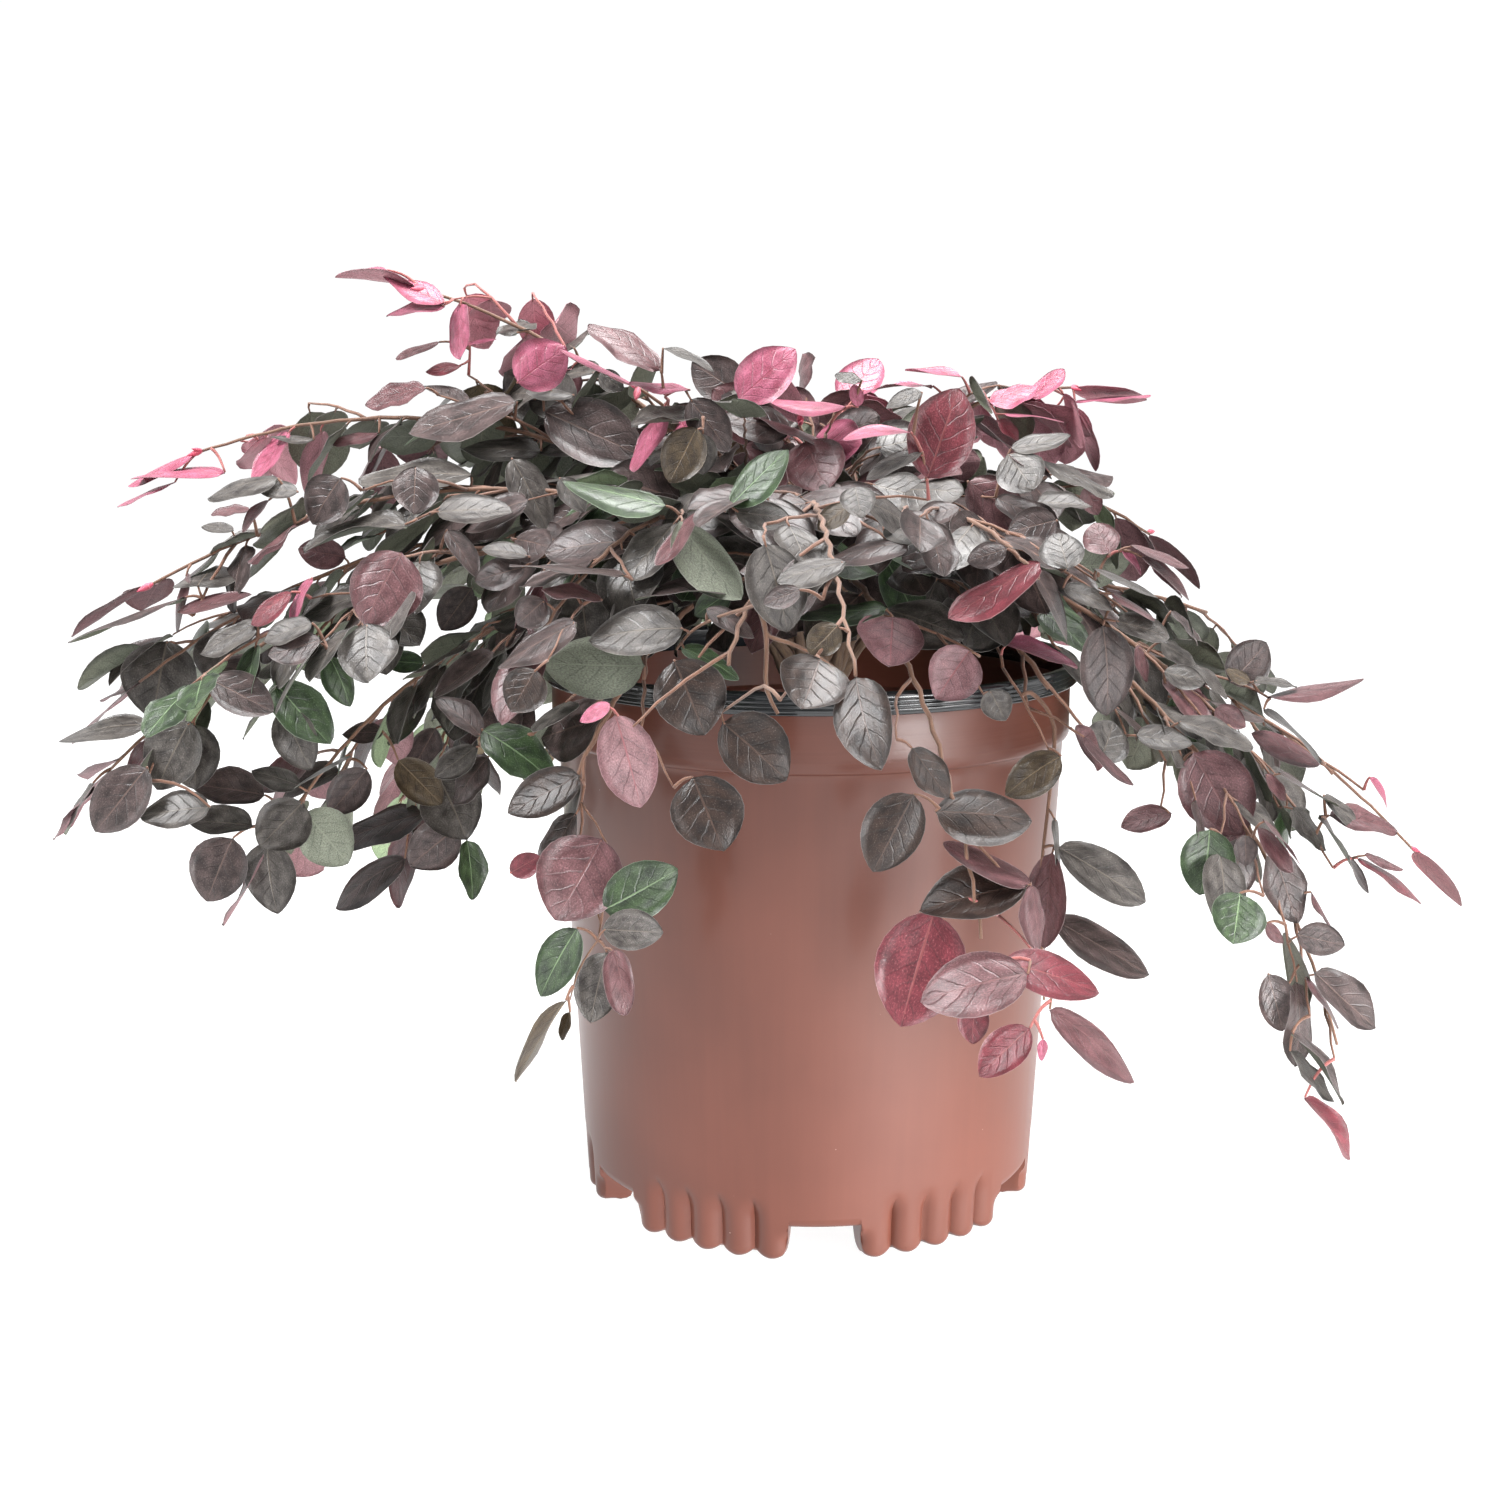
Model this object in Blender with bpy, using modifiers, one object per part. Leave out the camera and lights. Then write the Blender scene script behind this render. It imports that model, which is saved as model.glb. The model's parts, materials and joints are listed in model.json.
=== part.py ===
"""A Chinese fringe flower shrub standing in its nursery pot.

Metres, +Z up. The origin is on the ground under the pot's axis, and the plant's
front faces -Y. A short leaning stem rises from the soil and forks into slender
boughs. Each bough ends at the shoulder of an arching shoot, and the shoot beyond
it is one mass of foliage: a stem, its side twigs and their leaves, fused.
"""
import math
import random

import bmesh
import bpy
from mathutils import Vector, noise
from mathutils.bvhtree import BVHTree

# Gap between pieces that touch
CLEARANCE = 0.0003

# Pot
TURN_STEPS = 32
POT_HEIGHT = 0.2365
RIM_RADIUS = 0.115
RIM_BAND = 0.009
COLLAR_RADIUS = 0.1115
COLLAR_DEPTH = 0.0235
WALL_TOP_RADIUS = 0.1092
WALL_FOOT_RADIUS = 0.0995
WALL = 0.0018
FLOOR_UNDERSIDE = 0.0145
FLOOR = 0.0025
EDGE_ROUND = 0.004

# Feet of the pot
FOOT_COUNT = 6
FOOT_SPAN = math.radians(43)
FIRST_FOOT = math.radians(-27.5)
FOOT_OUTER_RADIUS = 0.1002
FOOT_INNER_RADIUS = 0.084
FLUTES = 5
FLUTE_DEPTH = 0.0013
DRAIN_RADIUS = 0.0055
DRAIN_CIRCLE = 0.086

# Soil
SOIL_TOP = 0.2052
SOIL_EDGE_DROP = 0.003
SOIL_RINGS = (0.022, 0.058, 0.090)
SOIL_ROUGHNESS = 0.0016

# Stem
STEM_FORK = 0.272
STEM_LEAN = 0.010
STEM_RADIUS = 0.0078
STEM_TOP_RADIUS = 0.0066
FLARE_RADIUS = 0.0150
FLARE_HEIGHT = 0.0135
STEM_RINGS = 9

# Boughs
BOUGH_RADIUS = 0.0024
BOUGH_TIP_RADIUS = 0.0019
BOUGH_SHARES = (0.0, 0.42, 0.83)
BOUGH_SPUR = 0.0025
SHOULDER_STRAIGHT = 0.003
CROWN_RING = 0.0038
SHOOT_ARCH = 0.35

# Foliage
SHOOT_RADIUS = 0.0018
SHOOT_TIP_RADIUS = 0.0011
SHOOT_RINGS = 6
TWIG_STEP = 0.036
TWIG_RADIUS = 0.0012
TWIG_TIP_RADIUS = 0.0010
TWIG_RINGS = 3
TWIG_LENGTH = 0.066
TWIG_DROOP = 0.20
TWIG_ANGLE = (30, 58)
TWIG_LIFT = (-35, 28)
LEAF_LENGTH = (0.040, 0.052)
LEAF_WIDTH = 0.68
LEAF_KEEL = 0.0012
LEAF_ARCH = 0.10
LEAF_STEP = 0.0242
LEAF_ANGLE = (45, 75)
LEAF_LIFT = (-70, 5)
LEAF_OUTWARD = 0.25
LEAF_ROLL = 0.35
STALK = 0.0006
SUNK = 0.0015
LEAF_SECTIONS = ((0.0, 0.0), (0.40, 1.0), (0.76, 0.74))

# The crown's box and each shoot's own space in it
CROWN_HALF_LENGTH = 0.303
CROWN_HALF_DEPTH = 0.235
CROWN_TOP = 0.400
CROWN_FOOT = 0.006
SPACE_SHARED = 0.012
RISE_ABOVE_SHOOT = 0.018
TRIES = 6

# Shoots: tip azimuth, tip reach, tip height, shoulder reach, shoulder height, swing, tier.
# Azimuths run anticlockwise from +X, and the swing turns the shoulder from the tip's azimuth.
# Boughs leave the stem in tiers up its side, and those of the last tier stand on its top.
LOWEST_TIER = 0.2228
TIER_STEP = 0.0085
TOP_TIER = 6
SHOOTS = {
    "top_left": (174, 0.204, 0.400, 0.050, 0.315, -20, 5),
    "left_upper": (174, 0.3047, 0.308, 0.072, 0.310, 0, 4),
    "left_middle": (189, 0.3068, 0.250, 0.070, 0.298, 5, 5),
    "left_side": (191, 0.3087, 0.208, 0.068, 0.282, -11, 2),
    "left_low": (196, 0.3152, 0.175, 0.074, 0.286, 12, 3),
    "left_lower": (196, 0.250, 0.132, 0.070, 0.268, 6, 1),
    "left_hanging": (180, 0.185, 0.122, 0.072, 0.270, -16, 0),
    "front_left": (226, 0.170, 0.085, 0.070, 0.276, 16, 0),
    "front_left_upper": (232, 0.190, 0.232, 0.046, 0.298, -8, 4),
    "front": (256, 0.195, 0.196, 0.052, 0.284, 6, 2),
    "front_middle": (273, 0.2353, 0.232, 0.044, 0.302, -8, 4),
    "front_right": (292, 0.174, 0.102, 0.068, 0.276, -10, 1),
    "front_right_upper": (304, 0.192, 0.236, 0.046, 0.298, 4, 3),
    "right_front": (321, 0.163, 0.081, 0.070, 0.276, -8, 0),
    "right_low": (340, 0.238, 0.043, 0.070, 0.272, -4, 1),
    "right_hanging": (350, 0.256, 0.078, 0.068, 0.280, 6, 2),
    "right_middle": (7, 0.3053, 0.113, 0.070, 0.266, 0, 0),
    "right_outer": (17, 0.278, 0.212, 0.074, 0.268, 14, 1),
    "right_upper": (14, 0.186, 0.262, 0.058, 0.298, 0, 3),
    "top_right": (20, 0.163, 0.345, 0.042, 0.318, 10, 5),
    "top": (238, 0.044, 0.364, 0.014, 0.302, 60, 6),
    "top_back": (66, 0.082, 0.362, 0.020, 0.304, 26, 6),
    "top_front": (205, 0.112, 0.366, 0.026, 0.304, 0, 6),
    "back_right": (48, 0.252, 0.200, 0.066, 0.288, 6, 2),
    "back": (78, 0.2402, 0.258, 0.064, 0.302, 6, 3),
    "back_low": (100, 0.215, 0.110, 0.070, 0.272, -6, 0),
    "back_left": (128, 0.262, 0.248, 0.068, 0.304, 6, 4),
    "back_left_low": (150, 0.248, 0.130, 0.070, 0.272, -6, 1),
}

COLOURS = {
    "pot": ((0.31, 0.13, 0.10), 0.42),
    "soil": ((0.045, 0.030, 0.022), 0.95),
    "bark": ((0.36, 0.19, 0.10), 0.80),
    "foliage": ((0.095, 0.066, 0.074), 0.55),
}


def clear_scene():
    for obj in list(bpy.data.objects):
        bpy.data.objects.remove(obj)


def new_collection(name):
    collection = bpy.data.collections.new(name)
    bpy.context.scene.collection.children.link(collection)
    return collection


def new_material(name, look):
    colour, roughness = COLOURS[look]
    material = bpy.data.materials.new(name)
    material.use_nodes = True
    shader = material.node_tree.nodes["Principled BSDF"]
    shader.inputs["Base Color"].default_value = (*colour, 1.0)
    shader.inputs["Roughness"].default_value = roughness
    return material


def place(name, mesh, collection):
    obj = bpy.data.objects.new(name, mesh)
    collection.objects.link(obj)
    return obj


def settled_mesh(obj):
    """The object's mesh as the viewport evaluates it, with its caps welded on."""
    depsgraph = bpy.context.evaluated_depsgraph_get()
    mesh = bpy.data.meshes.new_from_object(obj.evaluated_get(depsgraph), depsgraph=depsgraph)
    bm = bmesh.new()
    bm.from_mesh(mesh)
    bmesh.ops.remove_doubles(bm, verts=bm.verts, dist=1e-6)
    bmesh.ops.recalc_face_normals(bm, faces=bm.faces)
    bm.to_mesh(mesh)
    bm.free()
    return mesh


def settle(obj):
    """Replace an object and its modifiers by one plain mesh of the same name."""
    mesh = settled_mesh(obj)
    collection = obj.users_collection[0]
    name = obj.name
    bpy.data.objects.remove(obj)
    return place(name, mesh, collection)


def turned(name, profile, collection):
    """A solid of revolution about Z from a profile of (radius, height) points."""
    mesh = bpy.data.meshes.new(name)
    edges = [(i, i + 1) for i in range(len(profile) - 1)]
    mesh.from_pydata([(radius, 0.0, height) for radius, height in profile], edges, [])
    obj = place(name, mesh, collection)
    screw = obj.modifiers.new("Turn", "SCREW")
    screw.steps = screw.render_steps = TURN_STEPS
    screw.use_merge_vertices = True
    screw.merge_threshold = 0.00001
    return settle(obj)


def boolean(obj, operation, collection, solver="EXACT"):
    """Join or cut the object by every object of a collection, then remove those."""
    modifier = obj.modifiers.new("Boolean", "BOOLEAN")
    modifier.operation = operation
    modifier.operand_type = "COLLECTION"
    modifier.collection = collection
    modifier.solver = solver
    result = settle(obj)
    for operand in list(collection.objects):
        bpy.data.objects.remove(operand)
    return result


def tube(name, points, radii, sides, collection):
    """A tapering limb: a curve with filled caps, made a mesh."""
    curve = bpy.data.curves.new(name, "CURVE")
    curve.dimensions = "3D"
    curve.twist_mode = "MINIMUM"
    curve.use_fill_caps = True
    section = None
    if sides == 3:
        section = three_sided_section(collection)
        curve.bevel_mode = "OBJECT"
        curve.bevel_object = section
    else:
        curve.bevel_depth = 1.0
        curve.bevel_resolution = (sides - 4) // 2
    spline = curve.splines.new("POLY")
    spline.points.add(len(points) - 1)
    for knot, point, radius in zip(spline.points, points, radii):
        knot.co = (*point, 1.0)
        knot.radius = radius
    obj = place(name, curve, collection)
    limb = settle(obj)
    if section:
        bpy.data.objects.remove(section)
    return limb


def three_sided_section(collection):
    """The unit section of a twig, which its curve scales by each point's radius."""
    curve = bpy.data.curves.new("section", "CURVE")
    curve.dimensions = "2D"
    spline = curve.splines.new("POLY")
    spline.points.add(2)
    for corner, knot in enumerate(spline.points):
        angle = 2 * math.pi * corner / 3
        knot.co = (math.cos(angle), math.sin(angle), 0.0, 1.0)
    spline.use_cyclic_u = True
    return place("section", curve, collection)


def polar(azimuth, radius, height):
    angle = math.radians(azimuth)
    return Vector((radius * math.cos(angle), radius * math.sin(angle), height))


def lerp(low, high, share):
    return low + (high - low) * share


def wall_radius(height):
    """Outer radius of the pot's wall below its collar."""
    top = POT_HEIGHT - RIM_BAND - COLLAR_DEPTH
    share = (height - FLOOR_UNDERSIDE) / (top - FLOOR_UNDERSIDE)
    return lerp(WALL_FOOT_RADIUS, WALL_TOP_RADIUS, share)


def pot_profile():
    band_foot = POT_HEIGHT - RIM_BAND
    collar_foot = band_foot - COLLAR_DEPTH
    floor_top = FLOOR_UNDERSIDE + FLOOR
    edge_height = FLOOR_UNDERSIDE + EDGE_ROUND
    return [
        (0.0, floor_top),
        (wall_radius(floor_top) - WALL - 0.001, floor_top),
        (wall_radius(edge_height) - WALL, edge_height),
        (COLLAR_RADIUS - WALL, band_foot),
        (RIM_RADIUS - 0.0040, POT_HEIGHT - 0.0010),
        (RIM_RADIUS - 0.0030, POT_HEIGHT),
        (RIM_RADIUS - 0.0012, POT_HEIGHT),
        (RIM_RADIUS, POT_HEIGHT - 0.0015),
        (RIM_RADIUS, band_foot + 0.0010),
        (RIM_RADIUS - 0.0008, band_foot),
        (COLLAR_RADIUS + 0.0002, band_foot),
        (COLLAR_RADIUS - 0.0002, collar_foot),
        (WALL_TOP_RADIUS, collar_foot),
        (wall_radius(edge_height), edge_height),
        (WALL_FOOT_RADIUS - 0.0013, FLOOR_UNDERSIDE + 0.0011),
        (WALL_FOOT_RADIUS - EDGE_ROUND, FLOOR_UNDERSIDE),
        (0.0, FLOOR_UNDERSIDE),
    ]


def foot_outline():
    """One foot seen from above: fluted outside, plain inside, centred on angle zero."""
    outline = []
    flute = FOOT_SPAN / FLUTES
    for step in range(3 * FLUTES + 1):
        angle = -FOOT_SPAN / 2 + flute * step / 3
        radius = FOOT_OUTER_RADIUS - (FLUTE_DEPTH if step % 3 == 0 else 0.0)
        outline.append((angle, radius))
    inner_span = 0.86 * FOOT_SPAN
    for step in range(5):
        outline.append((inner_span / 2 - inner_span * step / 4, FOOT_INNER_RADIUS))
    return outline


def foot_angle(number):
    """Azimuth of a foot, or of the gap after it for a half number."""
    return FIRST_FOOT - math.pi / 2 + 2 * math.pi * number / FOOT_COUNT


def build_feet(collection):
    height = FLOOR_UNDERSIDE + 0.4 * FLOOR
    for number in range(FOOT_COUNT):
        curve = bpy.data.curves.new("foot", "CURVE")
        curve.dimensions = "2D"
        curve.fill_mode = "BOTH"
        curve.extrude = height / 2
        outline = foot_outline()
        spline = curve.splines.new("POLY")
        spline.points.add(len(outline) - 1)
        for knot, (angle, radius) in zip(spline.points, outline):
            turn = angle + foot_angle(number)
            knot.co = (radius * math.cos(turn), radius * math.sin(turn), 0.0, 1.0)
        spline.use_cyclic_u = True
        foot = place("foot", curve, collection)
        foot.location.z = height / 2
        bpy.context.view_layer.update()
        matrix = foot.matrix_world.copy()
        solid = settle(foot)
        solid.matrix_world = matrix


def build_drains(collection):
    for number in range(FOOT_COUNT):
        bm = bmesh.new()
        bmesh.ops.create_cone(
            bm, cap_ends=True, segments=8, radius1=DRAIN_RADIUS, radius2=DRAIN_RADIUS, depth=0.02
        )
        mesh = bpy.data.meshes.new("drain")
        bm.to_mesh(mesh)
        bm.free()
        drain = place("drain", mesh, collection)
        angle = foot_angle(number + 0.5)
        drain.location = (
            DRAIN_CIRCLE * math.cos(angle), DRAIN_CIRCLE * math.sin(angle), FLOOR_UNDERSIDE
        )
        drain.hide_render = True
        drain.display_type = "WIRE"


def build_pot(collection, cutters):
    pot = turned("pot", pot_profile(), collection)
    build_feet(cutters)
    pot = boolean(pot, "UNION", cutters)
    build_drains(cutters)
    return boolean(pot, "DIFFERENCE", cutters)


def build_soil(collection):
    """Moist bark compost that fills the pot to its collar, a little mounded at the stem."""
    gap = CLEARANCE / math.cos(math.pi / TURN_STEPS)
    floor = FLOOR_UNDERSIDE + FLOOR + CLEARANCE
    edge_height = FLOOR_UNDERSIDE + EDGE_ROUND
    edge_top = SOIL_TOP - SOIL_EDGE_DROP
    share = (edge_top - edge_height) / (POT_HEIGHT - RIM_BAND - edge_height)
    inner_foot = wall_radius(edge_height) - WALL
    edge_radius = lerp(inner_foot, COLLAR_RADIUS - WALL, share) - gap
    top = [(0.0, SOIL_TOP), (SOIL_RINGS[0], SOIL_TOP)]
    for radius in SOIL_RINGS[1:]:
        top.append((radius, SOIL_TOP - SOIL_EDGE_DROP * (radius / edge_radius) ** 2))
    side = [
        (edge_radius, edge_top),
        (inner_foot - gap, edge_height),
        (inner_foot - gap - 0.002, floor),
        (0.0, floor),
    ]
    soil = turned("soil", top + side, collection)
    for vertex in soil.data.vertices:
        radius = math.hypot(vertex.co.x, vertex.co.y)
        if vertex.co.z > 0.15 and 1.05 * SOIL_RINGS[0] < radius < 0.98 * edge_radius:
            vertex.co.z += SOIL_ROUGHNESS * noise.noise(vertex.co * 60)
    return soil


def stem_axis(height):
    """Point on the leaning stem's axis; its lowest stretch is upright."""
    share = max(0.0, height - SOIL_TOP - FLARE_HEIGHT / 2) / (STEM_FORK - SOIL_TOP)
    return Vector((STEM_LEAN * share, 0.3 * STEM_LEAN * share, height))


def stem_radius(height):
    share = (height - SOIL_TOP) / (STEM_FORK - SOIL_TOP)
    flare = math.exp(-((height - SOIL_TOP) / (0.45 * FLARE_HEIGHT)) ** 1.3)
    return lerp(STEM_RADIUS, STEM_TOP_RADIUS, share) + (FLARE_RADIUS - STEM_RADIUS) * flare


def build_stem(collection):
    foot = SOIL_TOP + CLEARANCE
    heights = [lerp(foot, STEM_FORK, (ring / (STEM_RINGS - 1)) ** 1.5) for ring in range(STEM_RINGS)]
    points = [stem_axis(height) for height in heights]
    radii = [stem_radius(height) for height in heights]
    return tube("trunk", points, radii, 12, collection)


def shoot_joint(azimuth, tier):
    """Where a shoot's bough leaves the stem, and the way it points there."""
    outward = polar(azimuth, 1.0, 0.0)
    lean = (stem_axis(STEM_FORK) - stem_axis(STEM_FORK - STEM_RADIUS)).normalized()
    if tier < TOP_TIER:
        height = LOWEST_TIER + TIER_STEP * tier
        room = CLEARANCE + BOUGH_RADIUS * math.hypot(lean.x, lean.y)
        return stem_axis(height) + outward * (stem_radius(height) + room), outward
    across = (outward - lean * outward.dot(lean)).normalized()
    return stem_axis(STEM_FORK) + across * CROWN_RING + lean * CLEARANCE, lean


def arc(start, handle, end, share):
    """A point of the quadratic curve from start to end."""
    return start * (1 - share) ** 2 + handle * 2 * share * (1 - share) + end * share ** 2


class Shoot:
    """One arching limb: a bough up to its shoulder, and the foliage's stem beyond."""

    def __init__(self, name):
        azimuth, reach, height, shoulder_reach, shoulder_height, swing, tier = SHOOTS[name]
        self.name = name
        self.joint, spur = shoot_joint(azimuth + swing, tier)
        self.root = self.joint + spur * BOUGH_SPUR
        self.shoulder = polar(azimuth + swing, shoulder_reach, shoulder_height)
        self.tip = polar(azimuth, reach, height)
        self.inner_length = (self.shoulder - self.root).length
        self.outer_length = (self.tip - self.shoulder).length
        heading = (self.tip - self.root).normalized() + Vector((0, 0, SHOOT_ARCH))
        self.heading = heading.normalized()
        self.inner_handle = self.shoulder - self.heading * self.inner_length / 2
        self.outer_handle = self.shoulder + self.heading * self.outer_length / 2

    def inner(self, share):
        return arc(self.root, self.inner_handle, self.shoulder, share)

    def outer(self, share):
        return arc(self.shoulder, self.outer_handle, self.tip, share)

    def outer_heading(self, share):
        return (self.outer(share + 0.01) - self.outer(share - 0.01)).normalized()

    def stem_end(self):
        """Share of the outer arc at which the leaf at the tip begins."""
        share = 1.0
        while (self.tip - self.outer(share)).length < LEAF_LENGTH[1] - SUNK:
            share -= 0.005
        return share

    def line(self, count=24):
        shares = [step / (count - 1) for step in range(count)]
        return [self.inner(share) for share in shares] + [self.outer(share) for share in shares]


def build_bough(shoot, collection):
    """A bough from the stem to its shoulder, straight for a moment at either end."""
    points = [shoot.joint]
    radii = [BOUGH_RADIUS]
    for share in BOUGH_SHARES:
        points.append(shoot.inner(share))
        radii.append(lerp(BOUGH_RADIUS, BOUGH_TIP_RADIUS, share))
    points += [shoot.shoulder - shoot.heading * SHOULDER_STRAIGHT, shoot.shoulder]
    radii += [BOUGH_TIP_RADIUS, BOUGH_TIP_RADIUS]
    return tube("bough_" + shoot.name, points, radii, 6, collection)


def sideways(heading):
    """Level direction across a heading."""
    side = heading.cross(Vector((0, 0, 1)))
    return side.normalized() if side.length > 0.2 else Vector((0, 1, 0))


def branch_way(heading, hand, angle, lift):
    """Direction that leaves a heading by an angle, to one hand, lifted above level."""
    angle, lift = math.radians(angle), math.radians(lift)
    out = sideways(heading) * hand * math.cos(lift) + Vector((0, 0, math.sin(lift)))
    return (heading * math.cos(angle) + out * math.sin(angle)).normalized()


def upper_side(point, heading, rng):
    """Rough direction of a leaf's upper face: up and outwards, rolled a little."""
    outward = Vector((point.x, point.y, 0.0)).normalized()
    roll = sideways(heading) * rng.uniform(-LEAF_ROLL, LEAF_ROLL)
    return Vector((0, 0, 1)) + outward * LEAF_OUTWARD + roll


def leaf_sections(root, heading, face, length, spare=0.0):
    """A leaf's three-cornered sections along its arching midrib, and its tip."""
    side = heading.cross(face).normalized()
    normal = side.cross(heading).normalized()
    rings = []
    for share, fullness in LEAF_SECTIONS:
        middle = root + heading * length * share
        middle += normal * (LEAF_ARCH * length * share * (1 - share) + spare)
        half = lerp(STALK, LEAF_WIDTH * length / 2, fullness) + spare
        keel = lerp(STALK, LEAF_KEEL, fullness) + 2 * spare
        rings.append([middle + side * half, middle - side * half, middle - normal * keel])
    return rings, root + heading * (length + spare)


def skin(rings, tip):
    """A closed skin over three-cornered rings that ends in a point."""
    bm = bmesh.new()
    rows = [[bm.verts.new(corner) for corner in ring] for ring in rings]
    point = bm.verts.new(tip)
    bm.faces.new(rows[0])
    for row, following in zip(rows, rows[1:]):
        for corner in range(3):
            beside = (corner + 1) % 3
            bm.faces.new((row[corner], row[beside], following[beside], following[corner]))
    for corner in range(3):
        bm.faces.new((rows[-1][corner], rows[-1][(corner + 1) % 3], point))
    bmesh.ops.triangulate(bm, faces=bm.faces)
    bmesh.ops.recalc_face_normals(bm, faces=bm.faces)
    return bm


def tree_of(obj):
    bm = bmesh.new()
    bm.from_mesh(obj.data)
    tree = BVHTree.FromBMesh(bm)
    bm.free()
    return tree


class Crown:
    """Keeps each shoot's foliage in its own space and clear of everything built."""

    def __init__(self, shoots, solids):
        self.lines = {shoot.name: shoot.line() for shoot in shoots}
        self.trees = [(None, tree_of(solid)) for solid in solids]

    def in_space(self, name, point):
        """True where the point is in the crown's box and about nearest to its own shoot."""
        if abs(point.x) > CROWN_HALF_LENGTH or abs(point.y) > CROWN_HALF_DEPTH:
            return False
        if not CROWN_FOOT < point.z < CROWN_TOP:
            return False
        own, height = min(((point - spot).length, spot.z) for spot in self.lines[name])
        if point.z > height + RISE_ABOVE_SHOOT:
            return False
        for other, line in self.lines.items():
            if other != name and min((point - spot).length for spot in line) < own - SPACE_SHARED:
                return False
        return True

    def is_free(self, tree, parent):
        return not any(owner != parent and other.overlap(tree) for owner, other in self.trees)

    def keep(self, owner, tree):
        self.trees.append((owner, tree))


def leaf_spots(points, hand):
    """Places along a twig for its leaves, from its tip back, on one hand and the other."""
    spots = []
    distance = 0.6 * LEAF_STEP
    for end, start in zip(points[::-1], points[-2::-1]):
        length = (end - start).length
        heading = (end - start) / length
        while distance < length:
            spots.append((end - heading * distance, heading, hand))
            distance += LEAF_STEP
            hand = -hand
        distance -= length
    return spots[:-1] if len(spots) > 1 else spots


class Mass:
    """The foliage beyond one bough: a stem, its side twigs and their leaves."""

    def __init__(self, shoot, crown, collection):
        self.name = "foliage_" + shoot.name
        self.shoot = shoot
        self.crown = crown
        self.rng = random.Random(shoot.name)
        self.pieces = new_collection(self.name + "_pieces")
        self.start = SHOULDER_STRAIGHT / shoot.outer_length
        self.end = shoot.stem_end()
        self.hand = self.rng.choice((-1, 1))
        shares = [0.0] + [ring / (SHOOT_RINGS - 2) for ring in range(SHOOT_RINGS - 1)]
        self.points = [shoot.outer(lerp(self.start, self.end, share)) for share in shares]
        self.points[0] = shoot.shoulder + shoot.heading * CLEARANCE
        self.points[1] = shoot.shoulder + shoot.heading * SHOULDER_STRAIGHT
        radii = [lerp(SHOOT_RADIUS, SHOOT_TIP_RADIUS, share) for share in shares]
        self.stem = tube(self.name, self.points, radii, 3, collection)
        crown.keep(self.name, tree_of(self.stem))
        heading = (shoot.tip - self.points[-1]).normalized()
        root = self.points[-1] - heading * SUNK
        face = upper_side(root, heading, self.rng)
        self.add_leaf(self.leaf(root, heading, face, (shoot.tip - root).length), self.name)

    def twig_count(self):
        return max(4, round(self.shoot.outer_length * self.end / TWIG_STEP))

    def leaf(self, root, heading, face, length):
        rings, tip = leaf_sections(root, heading, face, length)
        wide = skin(*leaf_sections(root, heading, face, length, CLEARANCE))
        tree = BVHTree.FromBMesh(wide)
        wide.free()
        return rings, tip, tree

    def fits(self, leaf, owner):
        rings, tip, tree = leaf
        corners = rings[1] + rings[2] + [tip]
        if not all(self.crown.in_space(self.shoot.name, corner) for corner in corners):
            return False
        return self.crown.is_free(tree, owner)

    def add_leaf(self, leaf, owner):
        rings, tip, tree = leaf
        bm = skin(rings, tip)
        mesh = bpy.data.meshes.new("leaf")
        bm.to_mesh(mesh)
        bm.free()
        place("leaf", mesh, self.pieces)
        self.crown.keep(owner + "_leaf", tree)

    def dress(self, points, owner):
        """Set leaves on both hands of a twig."""
        for spot, heading, hand in leaf_spots(points, self.hand):
            for _ in range(TRIES):
                way = branch_way(heading, hand, self.rng.uniform(*LEAF_ANGLE), self.rng.uniform(*LEAF_LIFT))
                face = upper_side(spot, way, self.rng)
                leaf = self.leaf(spot - way * STALK / 2, way, face, self.rng.uniform(*LEAF_LENGTH))
                if self.fits(leaf, owner):
                    self.add_leaf(leaf, owner)
                    break

    def add_twig(self, number):
        """Grow one side twig, if it finds room for itself and the leaf at its tip."""
        along = (number + 0.15) / self.twig_count()
        share = lerp(self.start, self.end, along)
        base = self.shoot.outer(share)
        heading = self.shoot.outer_heading(share)
        owner = "%s_twig_%d" % (self.name, number)
        self.hand = -self.hand
        for _ in range(TRIES):
            way = branch_way(heading, self.hand, self.rng.uniform(*TWIG_ANGLE), self.rng.uniform(*TWIG_LIFT))
            length = TWIG_LENGTH * lerp(1.0, 0.6, along) * self.rng.uniform(0.7, 1.1)
            points = self.sagging(base, way, length)
            tip_way = (points[-1] - points[-2]).normalized()
            root = points[-1] - tip_way * SUNK
            face = upper_side(root, tip_way, self.rng)
            leaf = self.leaf(root, tip_way, face, self.rng.uniform(*LEAF_LENGTH))
            if not self.fits(leaf, owner):
                continue
            radii = [TWIG_RADIUS] + [TWIG_TIP_RADIUS] * (TWIG_RINGS - 1)
            twig = tube("twig", points, radii, 3, self.pieces)
            tree = tree_of(twig)
            if self.crown.is_free(tree, self.name):
                self.crown.keep(owner, tree)
                self.add_leaf(leaf, owner)
                self.dress(points, owner)
                return
            bpy.data.objects.remove(twig)

    def sagging(self, start, way, length):
        """Points of a twig that sags below its first direction."""
        points = []
        for ring in range(TWIG_RINGS):
            share = ring / (TWIG_RINGS - 1)
            sag = Vector((0, 0, TWIG_DROOP * length * share ** 2))
            points.append(start + way * length * share - sag)
        return points

    def fuse(self):
        """Join stem, twigs and leaves by one Boolean union into one closed body."""
        mass = boolean(self.stem, "UNION", self.pieces)
        bpy.data.collections.remove(self.pieces)
        keep_one_body(mass)
        return mass


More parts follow.
